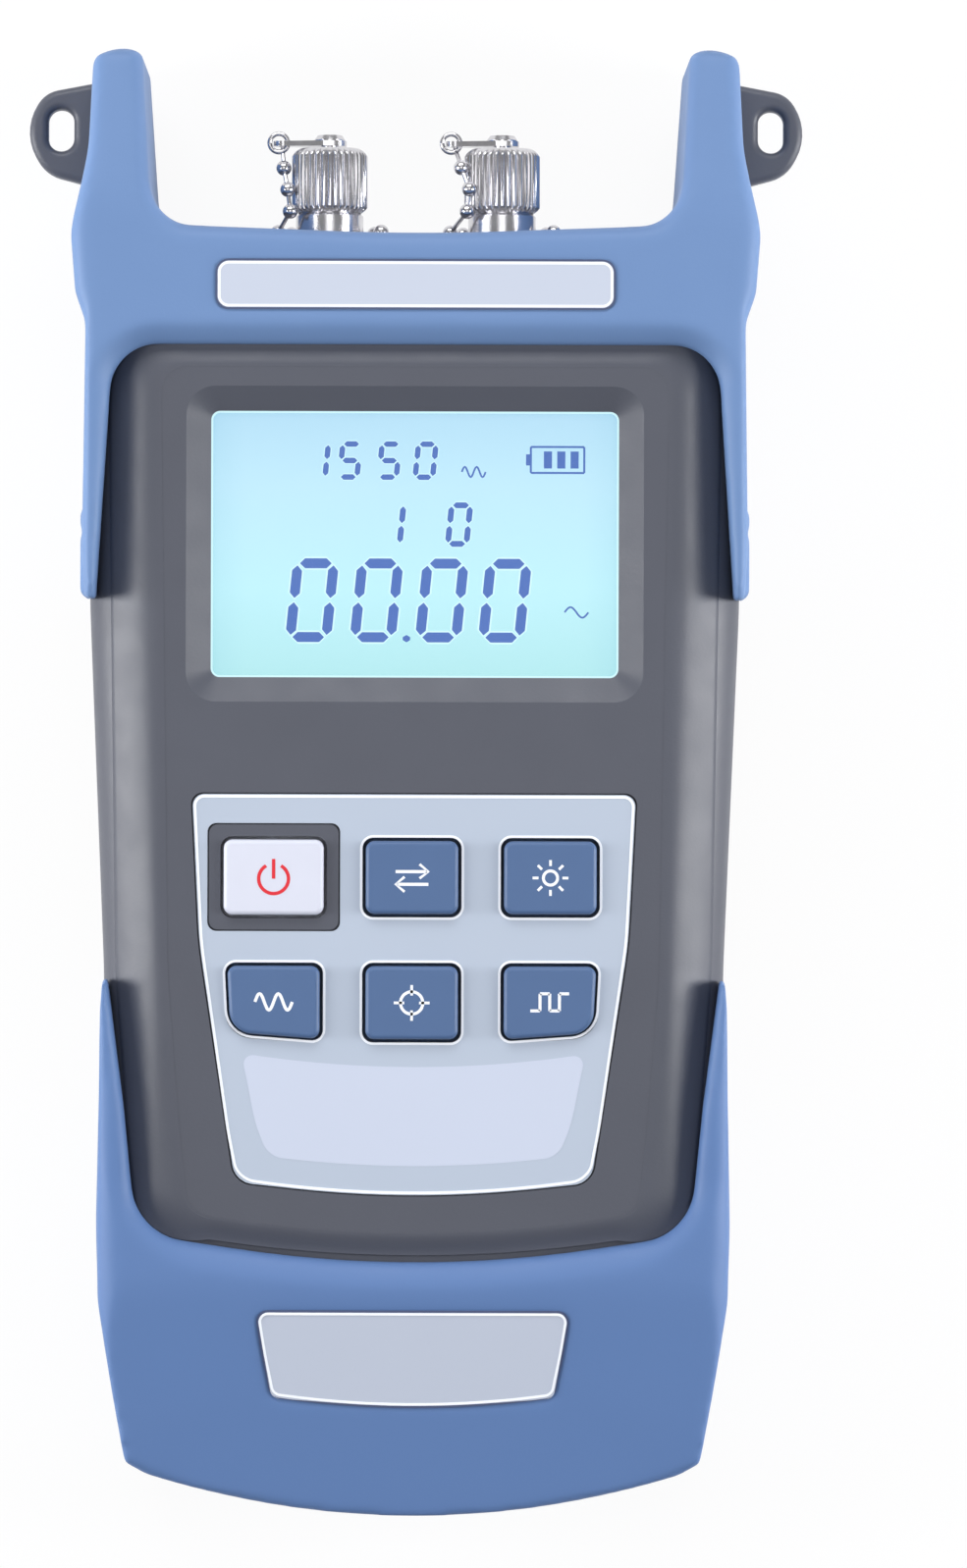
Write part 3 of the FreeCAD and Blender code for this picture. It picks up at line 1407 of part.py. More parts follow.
def build():
    """Make every sub-part and return them in order."""
    nodes = [make_front_housing(), make_rear_housing()]
    cavity = make_boot_cavity()
    top_tool = make_label("top_label_recess", top_label_outline(S.label_gap),
                          S.label_sink + 1, top_label_seat, S.label_sink)
    toe_tool = make_label("toe_label_recess", toe_label_outline(S.label_gap),
                          S.label_sink + 1, toe_label_seat, S.label_sink)
    nodes.append(cut_with("top_bumper", make_top_boot_blank(), [cavity, top_tool]))
    nodes.append(cut_with("bottom_bumper", make_toe_boot_blank(), [cavity, toe_tool]))
    nodes.append(make_label("top_label_plate", top_label_outline(0), S.label_thick,
                            top_label_seat, S.label_sink))
    nodes.append(make_label("bottom_label_plate", toe_label_outline(0), S.label_thick,
                            toe_label_seat, S.label_sink))
    nodes += [make_lcd_window(), make_lcd_frame(), make_lcd_backlight(), make_zebra_strip()]
    nodes.append(display_plate("lcd_panel", S.lens_lip * 2 - 0.2, S.lens_lip * 2 - 0.2,
                               GLASS_LOW, S.glass_thick))
    plate = new_body("keypad_plate")
    slab(plate, plate_outline(0), FACE - S.plate_sink, S.plate_thick)
    keys = key_list()
    _, x, y, width, height, _ = keys[0]
    frame = S.key_gap + S.power_frame + S.label_gap
    slab(plate, box_corners(x, y, width + frame * 2, height + frame * 2, S.key_corner),
         FACE - S.plate_sink, S.plate_thick, cut=True)
    for _, x, y, width, height, slant in keys[1:]:
        slab(plate, key_outline(x, y, width, height, S.key_gap + 0.2, slant),
             FACE - S.plate_sink, S.plate_thick, cut=True)
    nodes.append(plate)
    nodes += [make_key(*key) for key in keys]
    nodes += [make_main_board(), make_key_switches(), make_board_screws(), make_case_screws()]
    nodes += [make_cell(column) for column in range(3)]
    nodes += [make_contacts("battery_springs", True), make_contacts("contact_plates", False)]
    nodes += [make_battery_cover(), make_port_panel()]
    for word, side in SIDE:
        nodes.append(make_port_body(f"{word}_port_body", side))
        nodes.append(make_sleeve(f"{word}_ferrule_sleeve", side))
        nodes.append(make_port_nut(f"{word}_port_nut", side))
        nodes.append(make_cap(f"{word}_dust_cap", side))
        nodes.append(make_cap_link(f"{word}_cap_link", side))
        nodes.append(make_neck_ring(f"{word}_neck_ring", side))
        nodes.append(make_chain(f"{word}_chain", side))
    nodes.append(make_module("detector_module", -1, S.module_radius, S.module_long))
    nodes.append(make_module("laser_module", 1, S.laser_radius, S.laser_long))
    return nodes


def check_and_export(nodes):
    """Stop on any failed object or bad shape, then write one STEP file for each sub-part."""
    doc.recompute()
    for item in doc.Objects:
        if "Invalid" in item.State or "Error" in item.State:
            raise RuntimeError(f"{item.Name} failed")
    for node in nodes:
        if node.Shape.isNull() or not node.Shape.isValid():
            raise RuntimeError(f"{node.Label} has no valid shape")
    os.makedirs("parts", exist_ok=True)
    for node in nodes:
        node.Shape.exportStep(f"parts/{node.Label}.step")


check_and_export(build())
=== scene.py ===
import json
import math

import bmesh
import bpy
import numpy as np
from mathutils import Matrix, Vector


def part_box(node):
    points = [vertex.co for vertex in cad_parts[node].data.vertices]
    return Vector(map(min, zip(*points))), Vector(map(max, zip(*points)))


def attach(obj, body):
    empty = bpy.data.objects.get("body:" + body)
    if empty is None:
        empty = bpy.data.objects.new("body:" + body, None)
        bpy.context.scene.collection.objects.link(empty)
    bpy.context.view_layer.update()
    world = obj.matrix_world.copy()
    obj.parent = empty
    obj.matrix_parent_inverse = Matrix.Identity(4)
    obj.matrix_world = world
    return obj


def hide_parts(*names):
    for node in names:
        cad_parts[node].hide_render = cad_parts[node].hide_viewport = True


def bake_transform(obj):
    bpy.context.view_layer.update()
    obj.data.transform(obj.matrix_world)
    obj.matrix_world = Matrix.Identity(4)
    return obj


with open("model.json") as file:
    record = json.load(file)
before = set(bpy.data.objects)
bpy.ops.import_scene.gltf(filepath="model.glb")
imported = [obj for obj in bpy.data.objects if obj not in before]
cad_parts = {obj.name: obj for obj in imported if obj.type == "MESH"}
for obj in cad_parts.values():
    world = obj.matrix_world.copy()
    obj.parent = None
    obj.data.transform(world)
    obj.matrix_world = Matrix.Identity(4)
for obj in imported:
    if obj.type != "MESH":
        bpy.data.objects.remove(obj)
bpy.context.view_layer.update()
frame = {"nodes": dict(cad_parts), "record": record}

MM = 0.001
NODES = frame["nodes"]


def box_of(node):
    """Lowest and highest corner of a solid's box, in millimetres."""
    return [np.array(corner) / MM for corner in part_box(node)]


# ---------------------------------------------------------------- shader maths

class Value:
    """A number or colour carried by a shader socket; arithmetic on it adds Math nodes."""

    def __init__(self, finish, socket):
        self.finish = finish
        self.socket = socket

    def maths(self, operation, *others):
        return self.finish.node("ShaderNodeMath", {"operation": operation}, (self,) + others)

    def __add__(self, other):
        return self.maths("ADD", other)

    def __mul__(self, other):
        return self.maths("MULTIPLY", other)

    def __sub__(self, other):
        return self.maths("SUBTRACT", other)

    def __rsub__(self, other):
        return self.finish.node("ShaderNodeMath", {"operation": "SUBTRACT"}, (other, self))

    def __truediv__(self, other):
        return self.maths("DIVIDE", other)

    def __abs__(self):
        return self.maths("ABSOLUTE")

    __radd__ = __add__
    __rmul__ = __mul__

    def ramp(self, low, high):
        """0 where the value is low, 1 where it is high, and even between them."""
        return self.finish.node("ShaderNodeMapRange", {"clamp": True},
                                {"Value": self, "From Min": low, "From Max": high})


class Finish:
    """A material made of nodes round one Principled shader."""

    def __init__(self, name, colour, **fixed):
        self.material = bpy.data.materials.new(name)
        self.material.use_nodes = True
        self.tree = self.material.node_tree
        self.shader = self.tree.nodes["Principled BSDF"]
        self.colour = colour
        self.shader.inputs["Base Color"].default_value = colour
        for words, number in fixed.items():
            words = words.replace("_", " ").title().replace("Ior", "IOR")
            self.shader.inputs[words].default_value = number

    def node(self, kind, settings=None, values=(), output=0):
        """Any node: its settings first, then the numbers or links of its sockets."""
        made = self.tree.nodes.new(kind)
        for name, setting in (settings or {}).items():
            if name == "stops":
                self.ramp(made, setting)
            else:
                setattr(made, name, setting)
        pairs = values.items() if isinstance(values, dict) else enumerate(values)
        for key, given in pairs:
            if isinstance(given, Value):
                self.tree.links.new(given.socket, made.inputs[key])
            else:
                made.inputs[key].default_value = given
        return Value(self, made.outputs[output])

    def ramp(self, made, stops):
        """Colour stops of a ramp as (place, colour) pairs."""
        elements = made.color_ramp.elements
        while len(elements) < len(stops):
            elements.new(0.5)
        for element, (place, colour) in zip(elements, stops):
            element.position = place
            element.color = colour

    def place(self):
        """Object coordinates, in metres."""
        return self.node("ShaderNodeTexCoord", output=3)

    def axes(self):
        """The three object coordinates in millimetres."""
        parts = self.tree.nodes.new("ShaderNodeSeparateXYZ")
        self.tree.links.new(self.place().socket, parts.inputs[0])
        return [Value(self, output) * (1 / MM) for output in parts.outputs]

    def grain(self, size, detail=2.0, rough=0.5, stretch=None):
        """Soft noise whose features are about size metres across."""
        place = self.place()
        if stretch is not None:
            place = self.node("ShaderNodeMapping", None, {"Vector": place, "Scale": stretch})
        return self.node("ShaderNodeTexNoise", None,
                         {"Vector": place, "Scale": 1 / size, "Detail": detail,
                          "Roughness": rough})

    def mix(self, share, first, second):
        """Colour between first and second."""
        made = self.tree.nodes.new("ShaderNodeMix")
        made.data_type = "RGBA"
        for index, given in ((0, share), (6, first), (7, second)):
            if isinstance(given, Value):
                self.tree.links.new(given.socket, made.inputs[index])
            else:
                made.inputs[index].default_value = given
        return Value(self, made.outputs[2])

    def feed(self, name, value):
        """Links a value to a socket of the shader."""
        self.tree.links.new(value.socket, self.shader.inputs[name])

    def bump(self, height, deep, strength=1.0):
        """Relief deep metres high where height is 1."""
        normal = self.node("ShaderNodeBump", None,
                           {"Height": height, "Distance": deep, "Strength": strength})
        self.feed("Normal", normal)

    def speckle(self, share, size):
        """Base colour that drifts by share up and down over patches of that size."""
        drift = self.grain(size, detail=3.0)
        dark = tuple(part * (1 - share) for part in self.colour[:3]) + (1,)
        light = tuple(min(1.0, part * (1 + share)) for part in self.colour[:3]) + (1,)
        self.feed("Base Color", self.mix(drift, dark, light))


def tone(red, green, blue):
    """Linear colour from display values of 0 to 255."""
    parts = [part / 255 for part in (red, green, blue)]
    return tuple(p / 12.92 if p <= 0.04045 else ((p + 0.055) / 1.055) ** 2.4
                 for p in parts) + (1.0,)


# ---------------------------------------------------------------- finishes

def make_rubber():
    """Soft-touch boot: fine matt grain, with painted shade that makes the toe half darker than the
    top half.
    """
    finish = Finish("boot_rubber", tone(105, 135, 181), roughness=0.5,
                    specular_ior_level=0.35)
    # Painted shade: the toe half darkens to stand for the top light falling less on its
    # down-sloping front.
    toe = finish.axes()[1].ramp(20.0, -50.0)
    drift = finish.mix(finish.grain(0.012, detail=3.0), tone(103, 133, 179), tone(107, 137, 183))
    finish.feed("Base Color", finish.mix(toe, drift, tone(90, 120, 170)))
    grain = finish.grain(0.00035, detail=3.0, rough=0.6)
    finish.feed("Roughness", finish.grain(0.006) * 0.16 + 0.44)
    finish.bump(grain, 0.00002, 0.55)
    return finish.material


def make_grey_housing():
    """Spark-eroded grey plastic: close fine pits, satin."""
    finish = Finish("housing_plastic", tone(78, 81, 92), roughness=0.42)
    finish.speckle(0.05, 0.01)
    grain = finish.grain(0.0005, detail=4.0, rough=0.65)
    finish.feed("Roughness", finish.grain(0.004) * 0.14 + 0.37)
    finish.bump(grain, 0.00003, 0.7)
    return finish.material


def make_print(name, colour, rough, drift):
    """Satin ink on a membrane, its tone drifting by that share."""
    finish = Finish(name, colour, roughness=rough)
    finish.speckle(drift, 0.02)
    finish.bump(finish.grain(0.0003, detail=2.0), 0.000006, 0.6)
    return finish.material


def make_label():
    """Domed label film, pale and slightly glossy."""
    finish = Finish("label_film", tone(184, 192, 209), roughness=0.3, coat_weight=0.3,
                    coat_roughness=0.2)
    finish.speckle(0.015, 0.02)
    finish.bump(finish.grain(0.0012, detail=2.0), 0.000008, 0.5)
    return finish.material


def make_painted_edge(name, colour):
    """Flat colour for painted highlights on bevelled edges and painted shadow lines in grooves."""
    finish = Finish(name, colour, roughness=0.35)
    finish.speckle(0.04, 0.004)
    finish.bump(finish.grain(0.0005), 0.000006, 0.5)
    return finish.material


def make_key(name, colour, soft):
    """Moulded key: fine grain and gently polished."""
    finish = Finish(name, colour, roughness=soft)
    finish.speckle(0.03, 0.004)
    finish.feed("Roughness", finish.grain(0.002) * 0.1 + soft)
    finish.bump(finish.grain(0.0004, detail=3.0), 0.00001, 0.5)
    return finish.material


def make_chrome():
    """Nickel plating with fine turning marks and slight clouding."""
    finish = Finish("nickel", tone(214, 214, 220), metallic=1.0, roughness=0.16)
    finish.feed("Roughness", finish.grain(0.0012, detail=3.0) * 0.2 + 0.1)
    finish.feed("Base Color", finish.mix(finish.grain(0.003), tone(196, 195, 200),
                                         tone(228, 227, 230)))
    finish.bump(finish.grain(0.0002, stretch=(1, 14, 1)), 0.000006, 0.4)
    return finish.material


def make_steel():
    """Plain zinc-plated steel."""
    finish = Finish("steel", tone(176, 178, 182), metallic=1.0, roughness=0.3)
    finish.feed("Roughness", finish.grain(0.001) * 0.25 + 0.2)
    finish.bump(finish.grain(0.0003), 0.00001, 0.4)
    return finish.material


def make_lcd():
    """Backlit display: an even glow, deeper blue at the top, greener low down."""
    finish = Finish("display_glow", tone(20, 30, 36), roughness=0.25)
    across, along, _ = finish.axes()
    low, high = box_of("lcd_panel")
    rise = (along - low[1]) / (high[1] - low[1])
    glow = finish.node("ShaderNodeValToRGB",
                       {"stops": [(0.0, tone(166, 228, 232)), (0.35, tone(184, 240, 250)),
                                  (0.7, tone(184, 231, 250)), (1.0, tone(168, 216, 242))]},
                       {"Fac": rise})
    edge = (abs(across) / high[0]).ramp(0.78, 1.08)
    finish.feed("Emission Color", finish.mix(edge * 0.35, glow, tone(130, 200, 226)))
    finish.shader.inputs["Emission Strength"].default_value = 0.97
    finish.bump(finish.grain(0.001), 0.000002, 0.3)
    return finish.material


def make_lcd_ink():
    """Lit blue segments."""
    finish = Finish("segment_ink", tone(20, 40, 96), roughness=0.5)
    finish.feed("Emission Color", finish.mix(finish.grain(0.004), tone(8, 92, 184),
                                             tone(14, 98, 190)))
    finish.shader.inputs["Emission Strength"].default_value = 0.7
    return finish.material


def make_lcd_edge():
    """Pale glowing edge round the segments; also the painted highlight ring round the display's
    glass.
    """
    finish = Finish("segment_edge_and_screen_highlight", tone(60, 90, 100), roughness=0.4)
    finish.feed("Emission Color", finish.mix(finish.grain(0.004), tone(206, 244, 250),
                                             tone(214, 248, 252)))
    finish.shader.inputs["Emission Strength"].default_value = 0.95
    return finish.material


def make_clear():
    """Clear acrylic over the display."""
    finish = Finish("acrylic", tone(240, 248, 250), roughness=0.06, alpha=0.1)
    finish.feed("Alpha", finish.grain(0.01) * 0.02 + 0.06)
    finish.bump(finish.grain(0.006), 0.000004, 0.3)
    return finish.material


def make_plain(name, colour, rough, size=0.001, deep=0.00001, metal=0.0):
    """A simple moulded or machined finish with drifting tone and fine relief."""
    finish = Finish(name, colour, roughness=rough, metallic=metal)
    finish.speckle(0.05, size * 4)
    finish.feed("Roughness", finish.grain(size * 2) * 0.12 + rough)
    finish.bump(finish.grain(size, detail=3.0), deep, 0.5)
    return finish.material


def make_board():
    """Solder mask over copper tracks."""
    finish = Finish("solder_mask", tone(20, 92, 52), roughness=0.35)
    tracks = finish.node("ShaderNodeTexBrick", {"offset": 0.5},
                         {"Vector": finish.place(), "Scale": 160.0, "Mortar Size": 0.03,
                          "Color1": tone(20, 92, 52), "Color2": tone(22, 98, 58),
                          "Mortar": tone(46, 128, 74)})
    finish.feed("Base Color", tracks)
    finish.bump(finish.grain(0.001), 0.00001, 0.4)
    return finish.material


INK_WHITE = make_key("legend_white", tone(236, 240, 248), 0.45)
INK_RED = make_key("legend_red", tone(214, 34, 48), 0.45)
FIELD_INK = make_print("field_print", tone(192, 200, 219), 0.4, 0.015)
# Painted highlight for bright bevelled edges, and painted shadow for dark grooves.
EDGE_HIGHLIGHT = make_painted_edge("label_rim", tone(238, 242, 250))
GROOVE_SHADOW = make_painted_edge("label_line", tone(66, 78, 112))
CHROME = make_chrome()
LCD_INK = make_lcd_ink()
LCD_EDGE_AND_HIGHLIGHT = make_lcd_edge()
SLOT_FINISHES = {
    "blue_rubber": make_rubber(),
    "grey_housing": make_grey_housing(),
    "plate": make_print("plate_print", tone(175, 186, 203), 0.42, 0.02),
    "label": make_label(),
    "blue_key": make_key("key_blue", tone(74, 101, 143), 0.4),
    "white_plastic": make_key("key_white", tone(208, 211, 226), 0.4),
    "black_plastic": make_plain("black_plastic", tone(34, 35, 40), 0.45),
    "black_rubber": make_plain("black_rubber", tone(26, 26, 28), 0.7),
    "lcd_glass": make_lcd(),
    "clear": make_clear(),
    "chrome": CHROME,
    "steel": make_steel(),
    "ceramic": make_plain("ceramic", tone(236, 234, 228), 0.2),
    "cell_wrap": make_plain("cell_wrap", tone(44, 46, 52), 0.3, metal=0.3),
    "board": make_board(),
}


def dress_nodes():
    """Every solid of the frame takes the finish of its material slot."""
    for row in frame["record"]["subparts"]:
        mesh = NODES[row["node"]].data
        mesh.materials.clear()
        mesh.materials.append(SLOT_FINISHES[row["material_slot"]])


# ---------------------------------------------------------------- soft boot

# Lengths are in millimetres from here on. The case's half width is given at stations along it.
CASE_Y = (-97.4, -70.0, -26.0, 24.0, 71.5)
CASE_HALF = (37.4, 41.85, 41.9, 43.95, 43.55)
FOOT_BOW = 128.4
BOOT_FRONT = box_of("top_bumper")[1][2]
# The outer skin: it starts and is whole so far outside the case, and comes in by PULL; more at
# the waist of the top half, at the toe half's arms, and towards the foot.
SKIN_START, SKIN_WHOLE = 0.3, 1.5
PULL, WAIST_PULL, ARM_PULL, FOOT_PULL = 0.85, 0.5, 0.9, 0.6
WAIST_Y, WAIST_WIDE = 66, 2.5
ARM_START, ARM_END = -33, -26
FOOT_START, FOOT_END = 88, 97
HORN_START, HORN_WHOLE, HORN_MIDDLE, HORN_SLIM = 74, 84, 40.2, 0.2
TIP_START, TIP_END, TIP_CUT = 96.7, 100, 1.6
SOLE_START, SOLE_WHOLE, SOLE_LIFT, SOLE_BOW = 0.3, 2.4, 0.9, 0.0005
# The windows: half width, closed end and corner radius, and how wide and deep their edges are.
TOP_HALF, TOP_END, TOP_CORNER = 41.0, 58.4, 6.5
TOE_Y, TOE_HALF, TOE_END, TOE_CORNER, TOE_BOW = (-62, -26), (37.4, 40.6), -64.8, 8.0, 162
ROLL_WIDE, ROLL_SIDE, ROLL_END = 2.8, 0.7, 1.2
BEVEL_WIDE, BEVEL_SIDE, BEVEL_END = 3.2, 0.7, 0.6
UPPER_START, UPPER_WHOLE = BOOT_FRONT - 3.6, BOOT_FRONT - 0.8
VOXEL = 0.55
RELAX_ROUNDS = 5


def ease(low, high, value):
    """Smooth step: 0 below low, 1 above high, and 3t^2 - 2t^3 between them."""
    share = np.clip((value - low) / (high - low), 0, 1)
    return share * share * (3 - 2 * share)


def draw_in(points):
    """Rubber stretched over the case: its outer skin comes in towards the case at the sides and
    the foot, the horns are slimmer about their own middle line, and their tips are blunter."""
    x, y, z = points.T
    across = np.abs(x)
    half = np.interp(y, CASE_Y, CASE_HALF)
    horn = ease(HORN_START, HORN_WHOLE, y)
    skin = ease(half + SKIN_START, half + SKIN_WHOLE, across)
    pull = (PULL + WAIST_PULL * np.exp(-((y - WAIST_Y) / WAIST_WIDE) ** 2)
            + ARM_PULL * ease(ARM_START, ARM_END, y) * (y < 0)
            + FOOT_PULL * ease(FOOT_START, FOOT_END, -y))
    across = across - pull * skin * (1 - horn)
    across = across + (HORN_MIDDLE - across) * HORN_SLIM * horn
    sole = ease(SOLE_START, SOLE_WHOLE, x * x / (2 * FOOT_BOW) + CASE_Y[0] - y)
    tip = TIP_CUT * ease(TIP_START, TIP_END, y)
    y = y - tip + sole * (SOLE_LIFT + SOLE_BOW * x * x)
    return np.stack([np.sign(x) * across, y, z], 1)


def window_distance(x, y, half, end, radius, way):
    """Distance outside a window with rounded corners whose closed end lies at end, on the side
    of way; and how much of that distance is along the boot instead of across it."""
    over_x = np.abs(x) - half + radius
    over_y = way * (y - end) + radius
    far = np.hypot(np.maximum(over_x, 0), np.maximum(over_y, 0))
    inside = np.minimum(np.maximum(over_x, over_y), 0)
    along = np.maximum(over_y, 0) / np.maximum(far, 1e-6)
    return far + inside - radius, along


def roll_top_edge(points):
    """The top half rolls down to its window in a smooth step, deeper along its closed end."""
    x, y, z = points.T
    away, along = window_distance(x, y, TOP_HALF, TOP_END, TOP_CORNER, 1)
    roll = ease(0, 1, 1 - away / ROLL_WIDE) * (away > -1)
    upper = ease(UPPER_START, UPPER_WHOLE, z)
    return np.stack([x, y, z - roll * upper * (ROLL_SIDE + ROLL_END * along)], 1)


def bevel_toe_edge(points):
    """The toe half has a flat bevel round its window, deeper along its closed end."""
    x, y, z = points.T
    half = np.interp(y, TOE_Y, TOE_HALF)
    away, along = window_distance(x, y, half, TOE_END + x * x / (2 * TOE_BOW), TOE_CORNER, -1)
    bevel = np.clip(1.0 - away / BEVEL_WIDE, 0, 1) * (away > -1)
    upper = ease(UPPER_START, UPPER_WHOLE, z)
    return np.stack([x, y, z - bevel * upper * (BEVEL_SIDE + BEVEL_END * along)], 1)


def relax(points, edges, rounds):
    """Each point moves half way to the middle of its neighbours, over and over."""
    first, last = edges.T
    count = np.bincount(edges.ravel(), minlength=len(points))[:, None]
    for _ in range(rounds):
        total = np.zeros_like(points)
        for axis in range(3):
            total[:, axis] = (np.bincount(first, points[last, axis], len(points))
                              + np.bincount(last, points[first, axis], len(points)))
        points = (points + total / count) / 2
    return points


def points_of(mesh):
    """Corner points of a mesh in millimetres."""
    flat = np.empty(len(mesh.vertices) * 3)
    mesh.vertices.foreach_get("co", flat)
    return flat.reshape(-1, 3) / MM


def soft_boot(name, node, shape_edge):
    """One half of the boot as soft moulded rubber: the solid's own form, drawn in, cut anew into
    even small faces, its window edge shaped, and every corner relaxed."""
    mesh = NODES[node].data.copy()
    work = bmesh.new()
    work.from_mesh(mesh)
    bmesh.ops.remove_doubles(work, verts=work.verts, dist=1e-6)
    work.to_mesh(mesh)
    work.free()
    mesh.vertices.foreach_set("co", (draw_in(points_of(mesh)) * MM).ravel())
    if "custom_normal" in mesh.attributes:
        mesh.attributes.remove(mesh.attributes["custom_normal"])
    made = bpy.data.objects.new(name, mesh)
    bpy.context.scene.collection.objects.link(made)
    cut = made.modifiers.new("even_faces", "REMESH")
    cut.mode = "VOXEL"
    cut.voxel_size = VOXEL * MM
    bpy.context.view_layer.update()
    seen = made.evaluated_get(bpy.context.evaluated_depsgraph_get())
    soft = bpy.data.meshes.new_from_object(seen)
    made.modifiers.clear()
    edges = np.empty(len(soft.edges) * 2, int)
    soft.edges.foreach_get("vertices", edges)
    points = relax(shape_edge(points_of(soft)), edges.reshape(-1, 2), RELAX_ROUNDS)
    soft.vertices.foreach_set("co", (points * MM).ravel())
    soft.shade_smooth()
    soft.materials.clear()
    soft.materials.append(SLOT_FINISHES["blue_rubber"])
    made.data = soft
    soft.update()
    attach(made, "casing")
    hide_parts(node)


def make_boots():
    """Both halves of the boot."""
    soft_boot("top_boot_skin", "top_bumper", roll_top_edge)
    soft_boot("toe_boot_skin", "bottom_bumper", bevel_toe_edge)


# ---------------------------------------------------------------- meshes

# The least corner radius, and how narrow a pointed bar gets as a share of its width.
LEAST_ROUND = 0.02
POINTED = 0.02


def quads(rows, columns, around):
    """Corner numbers of the faces of a grid; around joins its last column to its first."""
    i, j = np.meshgrid(np.arange(rows - 1), np.arange(columns - (0 if around else 1)),
                       indexing="ij")
    k = (j + 1) % columns
    corners = [i * columns + j, i * columns + k, (i + 1) * columns + k, (i + 1) * columns + j]
    return np.stack(corners, -1).reshape(-1, 4)


def piece(name, grids, finish, body, replaced=(), sharp=35, around=True):
    """One object from grids of points in millimetres, each rows by columns by 3."""
    points, faces, count = [], [], 0
    for grid in grids:
        rows, columns = grid.shape[:2]
        points.append(grid.reshape(-1, 3))
        faces.append(quads(rows, columns, around) + count)
        count += rows * columns
    mesh = bpy.data.meshes.new(name)
    mesh.from_pydata((np.concatenate(points) * MM).tolist(), [],
                     np.concatenate(faces).tolist())
    work = bmesh.new()
    work.from_mesh(mesh)
    bmesh.ops.remove_doubles(work, verts=work.verts, dist=1e-7)
    bmesh.ops.dissolve_degenerate(work, edges=work.edges, dist=1e-8)
    bmesh.ops.recalc_face_normals(work, faces=work.faces)
    work.to_mesh(mesh)
    work.free()
    mesh.shade_smooth()
    mesh.set_sharp_from_angle(angle=math.radians(sharp))
    mesh.materials.append(finish)
    made = bpy.data.objects.new(name, mesh)
    bpy.context.scene.collection.objects.link(made)
    if body is not None:
        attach(made, body)
    if replaced:
        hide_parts(*replaced)
    return made


def ribbon(path, width, level, thick):
    """A flat bar: a rectangle of the given width and thickness carried along a plan path."""
    path = np.asarray(path, float)
    width = np.broadcast_to(np.asarray(width, float), (len(path),))
    step = np.gradient(path, axis=0)
    step /= np.linalg.norm(step, axis=1)[:, None]
    side = np.stack([-step[:, 1], step[:, 0]], 1)
    left = path + side * width[:, None] / 2
    right = path - side * width[:, None] / 2
    low, high = np.full(len(path), level), np.full(len(path), level + thick)
    grid = np.stack([np.c_[right, low], np.c_[right, high], np.c_[left, high],
                     np.c_[left, low]], 1)
    first = np.repeat(grid[:1].mean(1, keepdims=True), 4, 1)
    last = np.repeat(grid[-1:].mean(1, keepdims=True), 4, 1)
    return np.concatenate([first, grid, last])


def arc(x, y, radius, start, end, count=33):
    """Points of a circular arc, its angles in degrees."""
    angle = np.radians(np.linspace(start, end, count))
    return np.c_[x + radius * np.cos(angle), y + radius * np.sin(angle)]


def blade(first, last, width):
    """Path and widths of a display segment: a bar with pointed ends."""
    first, last = np.asarray(first, float), np.asarray(last, float)
    length = np.linalg.norm(last - first)
    share = np.array([0.0, width / 2 / length, 1 - width / 2 / length, 1.0])
    widths = np.array([POINTED, 1.0, 1.0, POINTED]) * width
    return first + (last - first) * share[:, None], widths


def film(outline, level, thick):
    """A thin closed sheet: an outline's rings at two levels, both closed at its middle."""
    outline = np.asarray(outline, float)
    level = np.broadcast_to(np.asarray(level, float), (len(outline),))
    low, high = np.c_[outline, level], np.c_[outline, level + thick]
    ends = [np.repeat(ring.mean(0, keepdims=True), len(outline), 0) for ring in (low, high)]
    return np.stack([ends[0], low, high, ends[1]])


def rim(outer, inner, level, thick):
    """A closed flat frame between two outlines with as many points: four rings joined round."""
    outer, inner = np.asarray(outer, float), np.asarray(inner, float)
    level = np.broadcast_to(np.asarray(level, float), (len(outer),))
    rings = [np.c_[outer, level], np.c_[outer, level + thick], np.c_[inner, level + thick],
             np.c_[inner, level]]
    return np.stack(rings + rings[:1])


def rounded(corners, inset=0.0, count=9):
    """Points of a convex outline given as (x, y, radius) anticlockwise, moved inwards by inset."""
    xy = np.asarray(corners, float)[:, :2]
    radii = np.asarray(corners, float)[:, 2]
    points = []
    for index, radius in enumerate(radii):
        here, before, after = xy[index], xy[index - 1], xy[(index + 1) % len(xy)]
        first = (before - here) / np.linalg.norm(before - here)
        last = (after - here) / np.linalg.norm(after - here)
        half = math.acos(np.clip(first @ last, -1, 1)) / 2
        middle = (first + last) / np.linalg.norm(first + last)
        centre = here + middle * radius / math.sin(half)
        small = max(radius - inset, LEAST_ROUND)
        centre = centre + middle * max(inset - radius + LEAST_ROUND, 0) / math.sin(half)
        sweep = math.pi / 2 - half
        facing = math.atan2(-middle[1], -middle[0])
        angle = facing + np.linspace(-sweep, sweep, count)
        points.append(np.c_[centre[0] + small * np.cos(angle),
                            centre[1] + small * np.sin(angle)])
    return np.concatenate(points)


def even(outline, step=1.5):
    """A closed outline with points added so that none lie further apart than step."""
    outline = np.asarray(outline, float)
    runs = []
    for here, there in zip(outline, np.roll(outline, -1, 0)):
        count = max(1, math.ceil(np.linalg.norm(there - here) / step))
        runs.append(here + (there - here) * np.arange(count)[:, None] / count)
    return np.concatenate(runs)


def bow(outline, low, radius, blend=6.0):
    """Bends the lower edge of an outline, at y = low, into an arc of that radius."""
    outline = np.array(outline, float)
    outline[:, 1] += outline[:, 0] ** 2 / (2 * radius) * ease(0, 1, (low + blend - outline[:, 1])
                                                               / blend)
    return outline


# ---------------------------------------------------------------- case front

